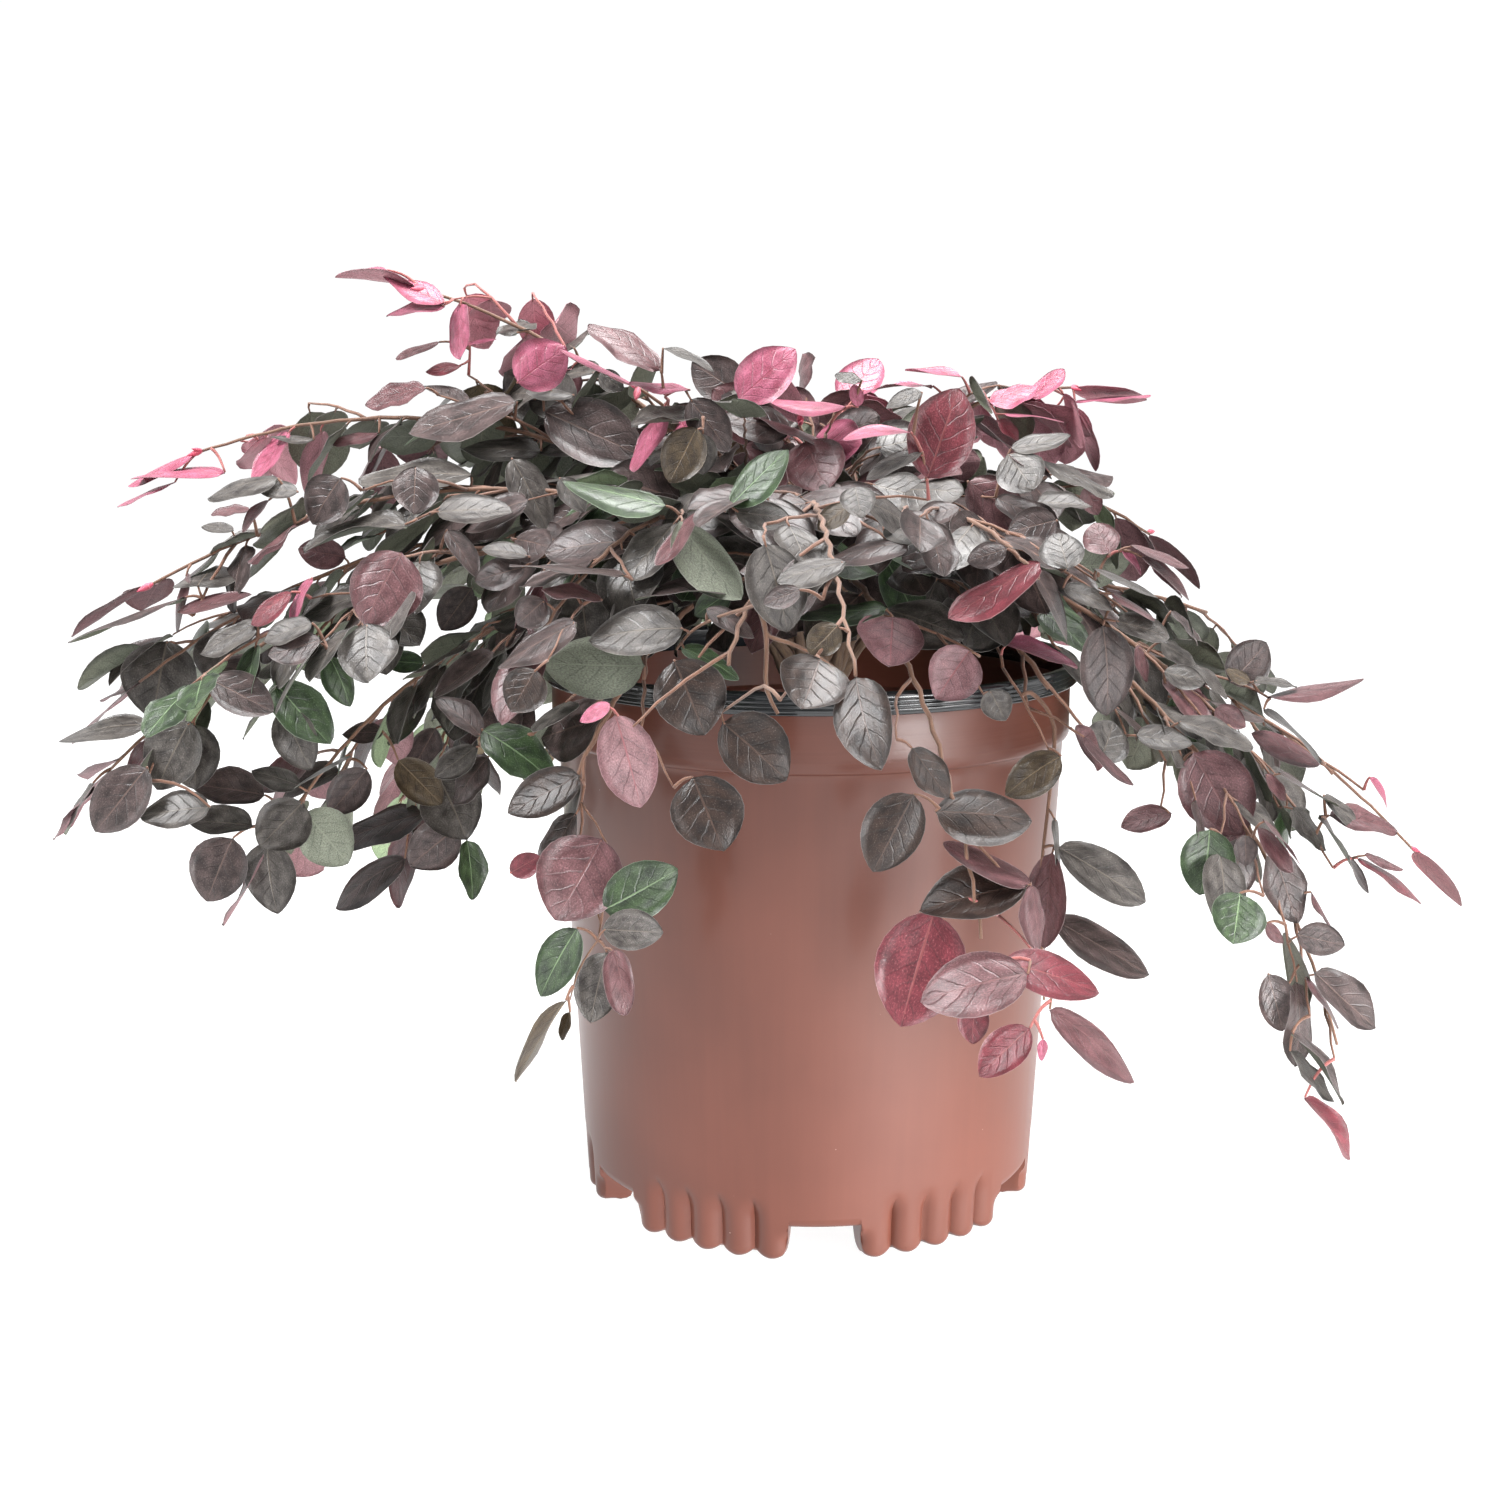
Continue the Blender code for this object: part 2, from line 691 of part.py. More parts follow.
def keep_one_body(obj):
    """Drop loose scraps and inner skins, keeping the largest closed skin."""
    bm = bmesh.new()
    bm.from_mesh(obj.data)
    bmesh.ops.dissolve_degenerate(bm, dist=1e-7, edges=bm.edges)
    bmesh.ops.triangulate(bm, faces=bm.faces)
    unseen = set(bm.verts)
    islands = []
    while unseen:
        island = [unseen.pop()]
        for vertex in island:
            near = {edge.other_vert(vertex) for edge in vertex.link_edges} & unseen
            unseen -= near
            island.extend(near)
        islands.append(island)
    islands.sort(key=len, reverse=True)
    scraps = [vertex for island in islands[1:] for vertex in island]
    bmesh.ops.delete(bm, geom=scraps, context="VERTS")
    bm.to_mesh(obj.data)
    bm.free()


def main():
    clear_scene()
    plant = new_collection("fringe_flower_shrub")
    cutters = new_collection("cutters")
    pot = build_pot(plant, cutters)
    soil = build_soil(plant)
    trunk = build_stem(plant)
    shoots = [Shoot(name) for name in SHOOTS]
    boughs = [build_bough(shoot, plant) for shoot in shoots]
    crown = Crown(shoots, [pot, soil, trunk] + boughs)
    masses = [Mass(shoot, crown, plant) for shoot in shoots]
    for number in range(max(mass.twig_count() for mass in masses)):
        for mass in masses:
            if number < mass.twig_count():
                mass.add_twig(number)
    for mass in masses:
        mass.dress(mass.points, mass.name)
    foliage = [mass.fuse() for mass in masses]
    looks = [("pot", [pot]), ("soil", [soil]), ("bark", [trunk] + boughs), ("foliage", foliage)]
    for look, objects in looks:
        for obj in objects:
            obj.data.materials.clear()
            obj.data.materials.append(new_material(obj.name + "_finish", look))
    pot.data.shade_smooth()
    pot.data.set_sharp_from_angle(angle=math.radians(30))


main()
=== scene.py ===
"""Looks for the potted fringe flower shrub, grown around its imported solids."""
import collections
import itertools
import json
import math
import random

import bmesh
import bpy
import numpy as np
from mathutils import Matrix, Vector, kdtree, noise

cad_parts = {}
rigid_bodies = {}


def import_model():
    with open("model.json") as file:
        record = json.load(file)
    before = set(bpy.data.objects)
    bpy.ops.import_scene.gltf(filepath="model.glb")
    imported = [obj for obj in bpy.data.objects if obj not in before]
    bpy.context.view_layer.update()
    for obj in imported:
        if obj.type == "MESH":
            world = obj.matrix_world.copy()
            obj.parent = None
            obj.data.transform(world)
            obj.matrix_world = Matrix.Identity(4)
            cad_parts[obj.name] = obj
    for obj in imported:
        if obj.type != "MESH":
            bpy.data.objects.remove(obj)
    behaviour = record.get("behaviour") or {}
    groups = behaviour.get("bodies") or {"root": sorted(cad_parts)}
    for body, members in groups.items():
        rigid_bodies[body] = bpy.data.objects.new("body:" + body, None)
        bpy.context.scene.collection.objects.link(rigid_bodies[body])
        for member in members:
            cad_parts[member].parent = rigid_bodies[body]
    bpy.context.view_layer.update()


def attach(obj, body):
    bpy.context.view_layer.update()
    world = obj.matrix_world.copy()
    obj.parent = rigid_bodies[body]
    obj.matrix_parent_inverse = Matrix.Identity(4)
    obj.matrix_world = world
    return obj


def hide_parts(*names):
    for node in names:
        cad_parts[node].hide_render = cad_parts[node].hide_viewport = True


UP = Vector((0, 0, 1))

# Pot, soil and stem, as in the part's source
POT_HEIGHT = 0.2365
RIM_RADIUS = 0.115
RIM_BAND = 0.009
COLLAR_RADIUS = 0.1115
COLLAR_DEPTH = 0.0235
BAND_FOOT = POT_HEIGHT - RIM_BAND
COLLAR_FOOT = BAND_FOOT - COLLAR_DEPTH
WALL_TOP_RADIUS = 0.1092
WALL_FOOT_RADIUS = 0.0995
WALL = 0.0018
FLOOR_UNDERSIDE = 0.0145
FLOOR = 0.0025
FOOT_COUNT = 6
FOOT_SPAN = math.radians(43)
FIRST_FOOT = math.radians(-27.5)
FLUTES = 5
DRAIN_RADIUS = 0.0055
DRAIN_CIRCLE = 0.086
SOIL_TOP = 0.2052
SOIL_EDGE_DROP = 0.003
STEM_FORK = 0.272
STEM_LEAN = 0.010
STEM_RADIUS = 0.0078
STEM_TOP_RADIUS = 0.0066
FLARE_RADIUS = 0.0150
FLARE_HEIGHT = 0.0135
BOUGH_RADIUS = 0.0024
BOUGH_TIP_RADIUS = 0.0019
BOUGH_SPUR = 0.0025
CROWN_RING = 0.0038
SHOOT_ARCH = 0.35
CLEARANCE = 0.0003

# The pot's finer forms: feet and the gaps between, grooves, lip
RIM_COLUMNS = 360
GROOVE_DEPTH = 0.0058
GROOVE_TOP = 0.0290
SPLIT_TOP = 0.034
SCALLOP = 0.0045
FOOT_ROUND = 0.0035
END_ROUND = math.radians(1.6)
FOOT_STEP = 0.0046
GAP_EDGE = 0.0185
GAP_ROUND = 0.004
RIDGES = 3
RIDGE_DEPTH = 0.0006
RIM_ROUND = 0.0026

# Its skin underneath: radius in the gaps, radius under the feet, share of the ribs' lift there, and height
UNDERSIDE = (
    (0.0915, 0.0915, 0.6, 0.0), (0.0900, 0.0895, 0.0, 0.0), (0.0885, 0.0865, 0.0, 0.0),
    (0.0872, 0.0848, 0.0, 0.0006), (0.0860, 0.0840, 0.0, 0.0022),
    (0.0838, 0.0838, 0.0, FLOOR_UNDERSIDE - 0.0012), (0.0825, 0.0825, 0.0, FLOOR_UNDERSIDE),
    (0.0600, 0.0600, 0.0, FLOOR_UNDERSIDE),
)

# Compost and bark
SOIL_RADIUS = 0.1082
MULCH_COUNT = 760
MULCH_RADIUS = 0.105
MULCH_INNER_RADIUS = 0.017
BOUGH_STEPS = 26

# The crown's box and each shoot's own space in it
CROWN_HALF_LENGTH = 0.303
CROWN_HALF_DEPTH = 0.235
CROWN_TOP = 0.400
CROWN_FOOT = 0.006
SPACE_SHARED = 0.014
RISE_ABOVE_SHOOT = 0.020
HIGH_RISE = 0.028

# Where the boughs leave the stem
LOWEST_TIER = 0.2228
TIER_STEP = 0.0085
TOP_TIER = 6

# Shoots: tip azimuth, tip reach, tip height, shoulder reach, shoulder height, swing, tier
SHOOTS = {
    "top_left": (174, 0.204, 0.400, 0.050, 0.315, -20, 5),
    "left_upper": (174, 0.3047, 0.308, 0.072, 0.310, 0, 4),
    "left_middle": (189, 0.3068, 0.250, 0.070, 0.298, 5, 5),
    "left_side": (191, 0.3087, 0.208, 0.068, 0.282, -11, 2),
    "left_low": (196, 0.3152, 0.175, 0.074, 0.286, 12, 3),
    "left_lower": (196, 0.250, 0.132, 0.070, 0.268, 6, 1),
    "left_hanging": (180, 0.185, 0.122, 0.072, 0.270, -16, 0),
    "front_left": (226, 0.170, 0.085, 0.070, 0.276, 16, 0),
    "front_left_upper": (232, 0.190, 0.232, 0.046, 0.298, -8, 4),
    "front": (256, 0.195, 0.196, 0.052, 0.284, 6, 2),
    "front_middle": (273, 0.2353, 0.232, 0.044, 0.302, -8, 4),
    "front_right": (292, 0.174, 0.102, 0.068, 0.276, -10, 1),
    "front_right_upper": (304, 0.192, 0.236, 0.046, 0.298, 4, 3),
    "right_front": (321, 0.163, 0.081, 0.070, 0.276, -8, 0),
    "right_low": (340, 0.238, 0.043, 0.070, 0.272, -4, 1),
    "right_hanging": (350, 0.256, 0.078, 0.068, 0.280, 6, 2),
    "right_middle": (7, 0.3053, 0.113, 0.070, 0.266, 0, 0),
    "right_outer": (17, 0.278, 0.212, 0.074, 0.268, 14, 1),
    "right_upper": (14, 0.186, 0.262, 0.058, 0.298, 0, 3),
    "top_right": (20, 0.163, 0.345, 0.042, 0.318, 10, 5),
    "top": (238, 0.044, 0.364, 0.014, 0.302, 60, 6),
    "top_back": (66, 0.082, 0.362, 0.020, 0.304, 26, 6),
    "top_front": (205, 0.112, 0.366, 0.026, 0.304, 0, 6),
    "back_right": (48, 0.252, 0.200, 0.066, 0.288, 6, 2),
    "back": (78, 0.2402, 0.258, 0.064, 0.302, 6, 3),
    "back_low": (100, 0.215, 0.110, 0.070, 0.272, -6, 0),
    "back_left": (128, 0.262, 0.248, 0.068, 0.304, 6, 4),
    "back_left_low": (150, 0.248, 0.130, 0.070, 0.272, -6, 1),
}

# How far the weight of the finer twigs draws down the handle of these shoots' outer arcs
DRAWN_DOWN = {"right_outer": 0.030, "right_middle": 0.040, "right_hanging": 0.018}

# The share of these stems that is drawn, where the photograph shows their last leaves on side twigs
CUT_SHORT = {"right_outer": 0.72, "right_hanging": 0.72, "right_low": 0.97, "front_left": 0.66,
             "right_front": 0.40, "front_right_upper": 0.80, "front_right": 0.93, "front": 0.80}

# How each shoot's young end is coloured, and the share of the shoot that is young
YOUNG = {
    "top_left": ("rose", 0.55),
    "left_upper": ("rose", 0.30),
    "top": ("rose", 0.40),
    "top_back": ("rose", 0.45),
    "top_front": ("rose", 0.35),
    "top_right": ("rose", 0.60),
    "right_upper": ("plum", 0.25),
    "right_outer": ("plum", 0.12),
    "right_middle": ("wine", 0.08),
    "right_hanging": ("plum", 0.10),
    "right_low": ("rose", 0.12),
    "right_front": ("wine", 0.45),
    "front_right": ("wine", 0.25),
    "front_right_upper": ("plum", 0.18),
    "front": ("dusk", 0.25),
    # The front middle shoot's young end takes the darker copy of dusk, which is painted shade
    "front_middle": ("ink", 0.06),
    "front_left": ("plum", 0.20),
    "left_middle": ("plum", 0.12),
    "back_right": ("rose", 0.25),
    "back": ("plum", 0.30),
}

# Leaves: the upper face's dark and light tints, its veins, and the underside
LEAF_LOOKS = {
    "dusk": ((0.016, 0.0102, 0.0095), (0.064, 0.043, 0.041), (0.12, 0.076, 0.063), (0.13, 0.14, 0.10)),
    "slate": ((0.021, 0.0170, 0.0155), (0.080, 0.071, 0.064), (0.12, 0.100, 0.080), (0.170, 0.185, 0.140)),
    "plum": ((0.050, 0.018, 0.020), (0.112, 0.050, 0.054), (0.12, 0.05, 0.05), (0.23, 0.12, 0.13)),
    "rose": ((0.190, 0.036, 0.064), (0.320, 0.088, 0.142), (0.20, 0.030, 0.052), (0.44, 0.21, 0.24)),
    "wine": ((0.062, 0.0080, 0.0125), (0.128, 0.021, 0.030), (0.19, 0.05, 0.05), (0.27, 0.10, 0.11)),
    # The darkest tint below is a darker copy of dusk: painted shade for leaves that hang in the crown's shade
    # near and before the pot
    "ink": ((0.0070, 0.0036, 0.0027), (0.031, 0.0175, 0.0130), (0.070, 0.041, 0.031), (0.11, 0.11, 0.085)),
    "blush": ((0.118, 0.056, 0.062), (0.205, 0.106, 0.116), (0.24, 0.072, 0.082), (0.36, 0.24, 0.24)),
    "green": ((0.009, 0.017, 0.007), (0.034, 0.058, 0.023), (0.16, 0.23, 0.12), (0.26, 0.34, 0.20)),
    "brown": ((0.024, 0.0150, 0.0080), (0.062, 0.042, 0.022), (0.16, 0.11, 0.06), (0.16, 0.12, 0.07)),
}

# On each face: side veins and their slant, the midrib's width at base and tip, hairs, and its hem's start
SIDE_VEINS = 6.0
VEIN_SLANT = -0.30
RIB_WIDTH, RIB_TIP_WIDTH = 0.042, 0.020
LEAF_HAIRS = 0.20
LEAF_HEM = 0.915

# Bark, twigs and buds by piece: the material's name, dark, light and pore tints, and roughness
BARK_LOOKS = {
    "bark": ("bark", (0.105, 0.062, 0.040), (0.270, 0.170, 0.110), (0.42, 0.32, 0.24), 0.85),
    "stems": ("stem_tan", (0.078, 0.031, 0.016), (0.180, 0.084, 0.044), (0.30, 0.18, 0.11), 0.75),
    "twigs": ("twig_tan", (0.090, 0.034, 0.018), (0.200, 0.088, 0.048), (0.32, 0.19, 0.12), 0.75),
    "young_twigs": ("twig_rose", (0.190, 0.042, 0.036), (0.350, 0.100, 0.090), (0.50, 0.26, 0.22), 0.75),
    "buds": ("bud_red", (0.340, 0.022, 0.052), (0.560, 0.070, 0.130), (0.70, 0.22, 0.28), 0.5),
}

# The ground in the pot: dark and light tints, and how fine its grain is
GROUND_LOOKS = {
    "compost": ((0.012, 0.008, 0.006), (0.060, 0.040, 0.028), 160.0),
    "bark_chip": ((0.035, 0.020, 0.012), (0.170, 0.095, 0.055), 90.0),
    "pale_grain": ((0.45, 0.44, 0.40), (0.70, 0.69, 0.66), 300.0),
}

# Which shoots rise more freely, and how common each colour is on old wood
HIGH_SHOOTS = ("top_left", "top", "top_back", "top_front", "top_right", "right_upper", "left_upper", "back")
OLD_SPRAYS = (("dusk", 0.50), ("slate", 0.33), ("plum", 0.06), ("green", 0.08), ("brown", 0.03))

# Leaves as the photograph shows them, in its 1500-pixel frame: colour, base and tip, width, and for two of
# them how much nearer than their limb they hang, in metres
# Leaves of the darker dusk copy in this table are painted shade, put where the crown shades them near and
# before the pot
SHOWN = (
    # Left side
    ("slate", 167, 640, 160, 716, 74), ("slate", 197, 586, 197, 557, 66), ("dusk", 186, 597, 67, 636, 16),
    ("plum", 178, 612, 252, 597, 22), ("slate", 257, 624, 198, 650, 31), ("slate", 312, 623, 262, 640, 26),
    ("dusk", 210, 679, 271, 712, 40), ("green", 274, 681, 327, 747, 45), ("slate", 281, 710, 312, 769, 43),
    ("slate", 190, 721, 154, 790, 60), ("slate", 147, 724, 56, 731, 33), ("dusk", 147, 767, 95, 835, 55),
    ("slate", 93, 783, 60, 831, 20), ("slate", 210, 807, 138, 815, 40), ("dusk", 265, 795, 190, 784, 38),
    ("slate", 300, 786, 251, 769, 25), ("slate", 303, 802, 264, 847, 56), ("slate", 253, 826, 188, 819, 26),
    ("dusk", 233, 838, 205, 902, 60), ("slate", 267, 841, 272, 915, 56), ("under", 305, 812, 350, 862, 58),
    ("dusk", 367, 769, 331, 815, 40), ("dusk", 429, 812, 335, 837, 32), ("dusk", 405, 858, 329, 900, 34),
    ("dusk", 458, 827, 408, 865, 50), ("green", 467, 840, 474, 900, 26), ("dusk", 488, 757, 451, 804, 32),
    ("slate", 476, 747, 436, 778, 28), ("dusk", 436, 728, 410, 773, 33), ("dusk", 481, 736, 439, 695, 22),
    ("green", 482, 729, 556, 778, 48), ("ink", 580, 775, 508, 814, 48), ("dusk", 577, 622, 496, 664, 42),
    ("ink", 536, 669, 512, 710, 46), ("dusk", 494, 652, 434, 697, 30), ("dusk", 472, 588, 441, 630, 38),
    ("plum", 402, 552, 365, 623, 76), ("wine", 291, 592, 248, 621, 22), ("rose", 312, 578, 286, 621, 16),
    ("plum", 346, 557, 298, 549, 32), ("slate", 367, 623, 371, 680, 62), ("green", 424, 664, 384, 660, 22),
    ("green", 329, 655, 352, 705, 26), ("dusk", 321, 640, 269, 657, 32), ("dusk", 384, 733, 342, 731, 23),
    ("brown", 398, 760, 441, 805, 38),
    # Upper left edge
    ("rose", 225, 472, 130, 468, 26), ("rose", 175, 482, 116, 505, 6), ("slate", 278, 478, 205, 490, 28),
    ("slate", 298, 492, 258, 488, 20), ("plum", 250, 510, 211, 514, 12), ("plum", 269, 500, 241, 531, 14),
    ("slate", 234, 530, 201, 525, 9), ("dusk", 341, 478, 309, 522, 50), ("slate", 408, 524, 302, 538, 30),
    ("slate", 474, 475, 358, 471, 36), ("dusk", 416, 466, 415, 514, 47), ("slate", 436, 512, 512, 508, 36),
    ("slate", 314, 440, 270, 437, 13), ("plum", 379, 433, 328, 440, 14),
    # Top, to the left
    ("rose", 445, 304, 382, 276, 30), ("rose", 445, 306, 385, 309, 22), ("rose", 387, 270, 350, 272, 6),
    ("slate", 517, 333, 512, 312, 43), ("slate", 574, 348, 562, 332, 56), ("plum", 661, 370, 594, 316, 34),
    ("rose", 470, 345, 468, 328, 47), ("plum", 439, 342, 395, 358, 10), ("rose", 517, 383, 565, 345, 55),
    ("wine", 461, 366, 425, 369, 13), ("plum", 426, 388, 364, 401, 26), ("dusk", 517, 402, 409, 434, 48),
    ("slate", 541, 451, 459, 447, 38), ("dusk", 544, 411, 643, 458, 66), ("slate", 512, 458, 551, 531, 42),
    ("rose", 690, 390, 629, 382, 16), ("rose", 738, 399, 797, 350, 54), ("dusk", 690, 399, 729, 451, 42),
    ("slate", 703, 434, 703, 475, 30), ("brown", 697, 428, 669, 483, 45), ("green", 666, 506, 563, 481, 44),
    ("green", 729, 507, 788, 449, 38), ("slate", 663, 348, 715, 366, 14), ("slate", 600, 372, 622, 391, 22),
    ("slate", 574, 395, 526, 388, 14),
    # Top, to the right
    ("rose", 846, 407, 769, 403, 20), ("rose", 858, 407, 854, 384, 14), ("rose", 933, 386, 863, 384, 9),
    ("rose", 962, 377, 905, 370, 18), ("rose", 989, 403, 1039, 382, 28), ("rose", 1031, 398, 1064, 368, 20),
    ("rose", 1075, 402, 1151, 395, 10), ("wine", 927, 479, 962, 387, 68), ("wine", 998, 420, 1019, 440, 17),
    ("rose", 1004, 414, 1064, 418, 6), ("slate", 1011, 449, 1071, 438, 24),
    ("slate", 1039, 459, 1115, 494, 20), ("plum", 1009, 455, 1052, 479, 16),
    ("plum", 968, 481, 1027, 525, 52), ("slate", 1008, 454, 1028, 493, 50),
    ("slate", 1037, 502, 1091, 505, 24), ("plum", 1085, 487, 1098, 515, 22),
    ("plum", 1110, 554, 1096, 520, 38), ("slate", 1068, 569, 1062, 528, 46),
    ("dusk", 1057, 520, 1008, 532, 42), ("plum", 806, 441, 826, 497, 62), ("dusk", 914, 436, 855, 467, 32),
    ("slate", 922, 452, 865, 474, 18), ("dusk", 910, 542, 812, 556, 36), ("slate", 855, 487, 860, 519, 36),
    ("dusk", 960, 507, 912, 520, 22), ("rose", 911, 432, 843, 431, 7), ("plum", 823, 443, 757, 410, 18),
    ("slate", 922, 392, 885, 404, 20), ("slate", 862, 380, 835, 374, 10), ("dusk", 1007, 549, 967, 560, 26),
    # Middle, over the rim
    ("slate", 560, 478, 585, 512, 26), ("dusk", 639, 541, 543, 546, 42), ("dusk", 447, 530, 478, 577, 24),
    ("slate", 528, 556, 482, 547, 16), ("dusk", 525, 567, 474, 580, 32), ("dusk", 625, 575, 510, 563, 17),
    ("plum", 698, 512, 656, 566, 16), ("under", 678, 521, 738, 603, 48), ("green", 730, 592, 694, 615, 28),
    ("dusk", 732, 591, 635, 590, 22), ("dusk", 795, 560, 739, 570, 24), ("slate", 846, 562, 776, 578, 26),
    ("slate", 735, 512, 790, 519, 30), ("brown", 850, 505, 818, 530, 24), ("green", 887, 608, 790, 617, 32),
    ("dusk", 800, 590, 764, 605, 24), ("slate", 684, 628, 588, 631, 56), ("under", 645, 666, 543, 666, 66),
    ("green", 681, 647, 741, 675, 22), ("dusk", 706, 608, 757, 632, 24), ("brown", 838, 625, 810, 655, 34),
    ("plum", 602, 600, 541, 590, 12), ("dusk", 545, 600, 520, 624, 36),
    # Before the rim and the collar
    ("ink", 674, 660, 705, 734, 74), ("ink", 722, 722, 789, 778, 68), ("ink", 820, 659, 801, 712, 72),
    ("blush", 893, 617, 885, 668, 68), ("blush", 970, 650, 934, 698, 56), ("rose", 1004, 643, 1078, 667, 25),
    ("blush", 615, 714, 643, 807, 54), ("rose", 610, 704, 578, 718, 18), ("ink", 693, 777, 722, 850, 74),
    ("wine", 1040, 562, 950, 620, 28), ("slate", 990, 690, 1003, 720, 32),
    # Hanging before the pot, to the right
    ("ink", 912, 748, 947, 798, 34), ("ink", 935, 811, 1034, 817, 58), ("ink", 914, 794, 873, 872, 62),
    ("brown", 1061, 756, 1003, 790, 42), ("plum", 1031, 883, 944, 842, 26), ("ink", 1028, 885, 918, 905, 48),
    ("slate", 1058, 847, 1147, 899, 40), ("dusk", 1052, 919, 1149, 974, 38),
    ("wine", 934, 912, 900, 1027, 92, -0.020), ("plum", 1028, 973, 920, 997, 60, 0.045),
    ("wine", 1003, 962, 1102, 989, 42), ("plum", 1050, 1009, 1141, 1074, 34),
    ("wine", 975, 1000, 972, 1045, 32), ("wine", 1030, 1028, 978, 1075, 38),
    ("rose", 1043, 1039, 1044, 1061, 11), ("plum", 1052, 852, 1045, 949, 26),
    ("plum", 1032, 885, 1039, 950, 28), ("slate", 1055, 818, 1063, 880, 16),
    # Hanging before the pot, to the left
    ("plum", 602, 838, 562, 919, 88), ("wine", 510, 873, 540, 856, 26), ("green", 603, 910, 679, 872, 58),
    ("slate", 602, 929, 663, 934, 42), ("green", 577, 928, 537, 996, 44), ("slate", 607, 952, 587, 1023, 48),
    ("plum", 614, 949, 628, 1015, 28), ("brown", 566, 1000, 512, 1080, 12),
    ("brown", 570, 1012, 560, 1040, 8),
    # Right side
    ("dusk", 1103, 625, 1114, 715, 58), ("dusk", 1230, 683, 1269, 643, 46),
    ("plum", 1267, 698, 1365, 681, 14), ("slate", 1136, 735, 1192, 746, 30),
    ("slate", 1178, 721, 1255, 743, 26), ("slate", 1100, 762, 1120, 722, 48),
    ("plum", 1193, 752, 1240, 837, 74), ("green", 1210, 829, 1204, 896, 58),
    ("green", 1240, 893, 1225, 940, 56), ("dusk", 1273, 850, 1297, 923, 46),
    ("dusk", 1297, 934, 1344, 947, 34), ("dusk", 1245, 835, 1246, 866, 24),
    ("plum", 1172, 813, 1120, 825, 22), ("plum", 1257, 827, 1297, 870, 20),
    ("plum", 1263, 819, 1303, 861, 10), ("slate", 1293, 807, 1327, 850, 27),
    ("plum", 1329, 815, 1399, 825, 26), ("dusk", 1319, 815, 1368, 893, 13),
    ("wine", 1358, 858, 1426, 895, 12), ("plum", 1365, 854, 1403, 870, 8), ("rose", 1370, 777, 1390, 806, 14),
    ("dusk", 1278, 772, 1337, 808, 15), ("slate", 1324, 795, 1361, 827, 17),
    ("plum", 1321, 764, 1252, 734, 22), ("slate", 1264, 709, 1327, 757, 17),
    ("plum", 1215, 708, 1245, 728, 24), ("slate", 1164, 672, 1205, 683, 24),
    ("slate", 1185, 662, 1232, 694, 12), ("brown", 1250, 682, 1226, 670, 16),
    ("slate", 1254, 681, 1297, 684, 9), ("slate", 1160, 642, 1198, 664, 22),
    ("slate", 1116, 621, 1171, 636, 30), ("dusk", 1171, 611, 1198, 645, 15),
    ("plum", 1138, 645, 1148, 682, 18), ("plum", 1265, 774, 1287, 800, 15), ("plum", 1311, 892, 1331, 926, 9),
    ("plum", 1267, 923, 1282, 944, 15), ("dusk", 1268, 974, 1284, 1031, 38),
    ("dusk", 1314, 972, 1374, 1030, 38), ("plum", 1307, 976, 1345, 1024, 14),
    ("dusk", 1292, 1032, 1350, 1101, 13), ("slate", 1290, 1051, 1333, 1103, 18),
    ("wine", 1305, 1097, 1357, 1155, 16), ("rose", 1122, 551, 1142, 574, 13),
    ("plum", 1130, 545, 1189, 568, 7), ("plum", 1142, 557, 1189, 600, 19),
    ("slate", 1093, 569, 1157, 599, 13), ("slate", 1063, 588, 1115, 606, 26),
    ("plum", 1111, 593, 1157, 617, 13),
)

# Twigs that show as well: thickness at the start in millimetres, distance ahead, then places along each
SHOWN_TWIGS = (
    (2.6, 0.735, (747, 566), (751, 592), (763, 616), (767, 640), (766, 664), (765, 690), (778, 714)),
    (1.7, 0.735, (758, 606), (731, 612), (706, 622), (689, 632), (676, 650)),
    (1.9, 0.735, (767, 637), (788, 642), (810, 652), (836, 668), (856, 690)),
    (1.5, 0.735, (765, 682), (745, 696), (722, 712), (694, 731)),
    (1.0, 0.735, (606, 930), (590, 950), (577, 972), (570, 1000)),
    (1.9, 0.770, (1030, 690), (1046, 706), (1056, 726), (1053, 762), (1048, 810), (1043, 848), (1040, 886),
     (1041, 930), (1043, 972), (1044, 1000)),
)

# Parts of that frame that all other leaves leave clear, such as the pot's front: left, top, right, bottom,
# and the distance up to which they are clear
BARE = (
    (585, 655, 1085, 900, 0.86), (690, 850, 870, 1260, 0.86), (560, 900, 1160, 1100, 0.86),
    (560, 1080, 1060, 1280, 0.86), (835, 640, 1085, 700, 1.05), (1062, 780, 1122, 850, 9.0),
    (1148, 766, 1186, 835, 9.0), (1302, 700, 1460, 965, 9.0), (1262, 900, 1302, 960, 9.0),
)

# The crown's upper and lower outline there: places across, and heights
SKYLINE = (
    (56, 75, 115, 170, 225, 232, 262, 300, 352, 372, 420, 450, 520, 600, 640, 700, 800, 850, 905, 970,
     1040, 1085, 1115, 1118, 1190, 1205, 1270, 1300, 1335, 1340, 1400, 1402, 1460),
    (720, 628, 600, 555, 550, 500, 436, 428, 424, 378, 374, 300, 308, 312, 330, 346, 346, 372, 366, 368,
     372, 400, 470, 505, 562, 625, 640, 678, 690, 745, 790, 850, 905),
)
HEMLINE = (
    (56, 62, 100, 140, 185, 205, 275, 300, 330, 405, 440, 490, 512, 530, 590, 640, 665, 700, 1060, 1090,
     1165, 1180, 1226, 1255, 1266, 1300, 1312, 1322, 1400, 1460),
    (740, 832, 842, 838, 868, 906, 916, 880, 902, 880, 884, 902, 870, 1000, 1026, 1018, 945, 900, 900, 790,
     790, 895, 944, 960, 1000, 1110, 1110, 965, 905, 906),
)

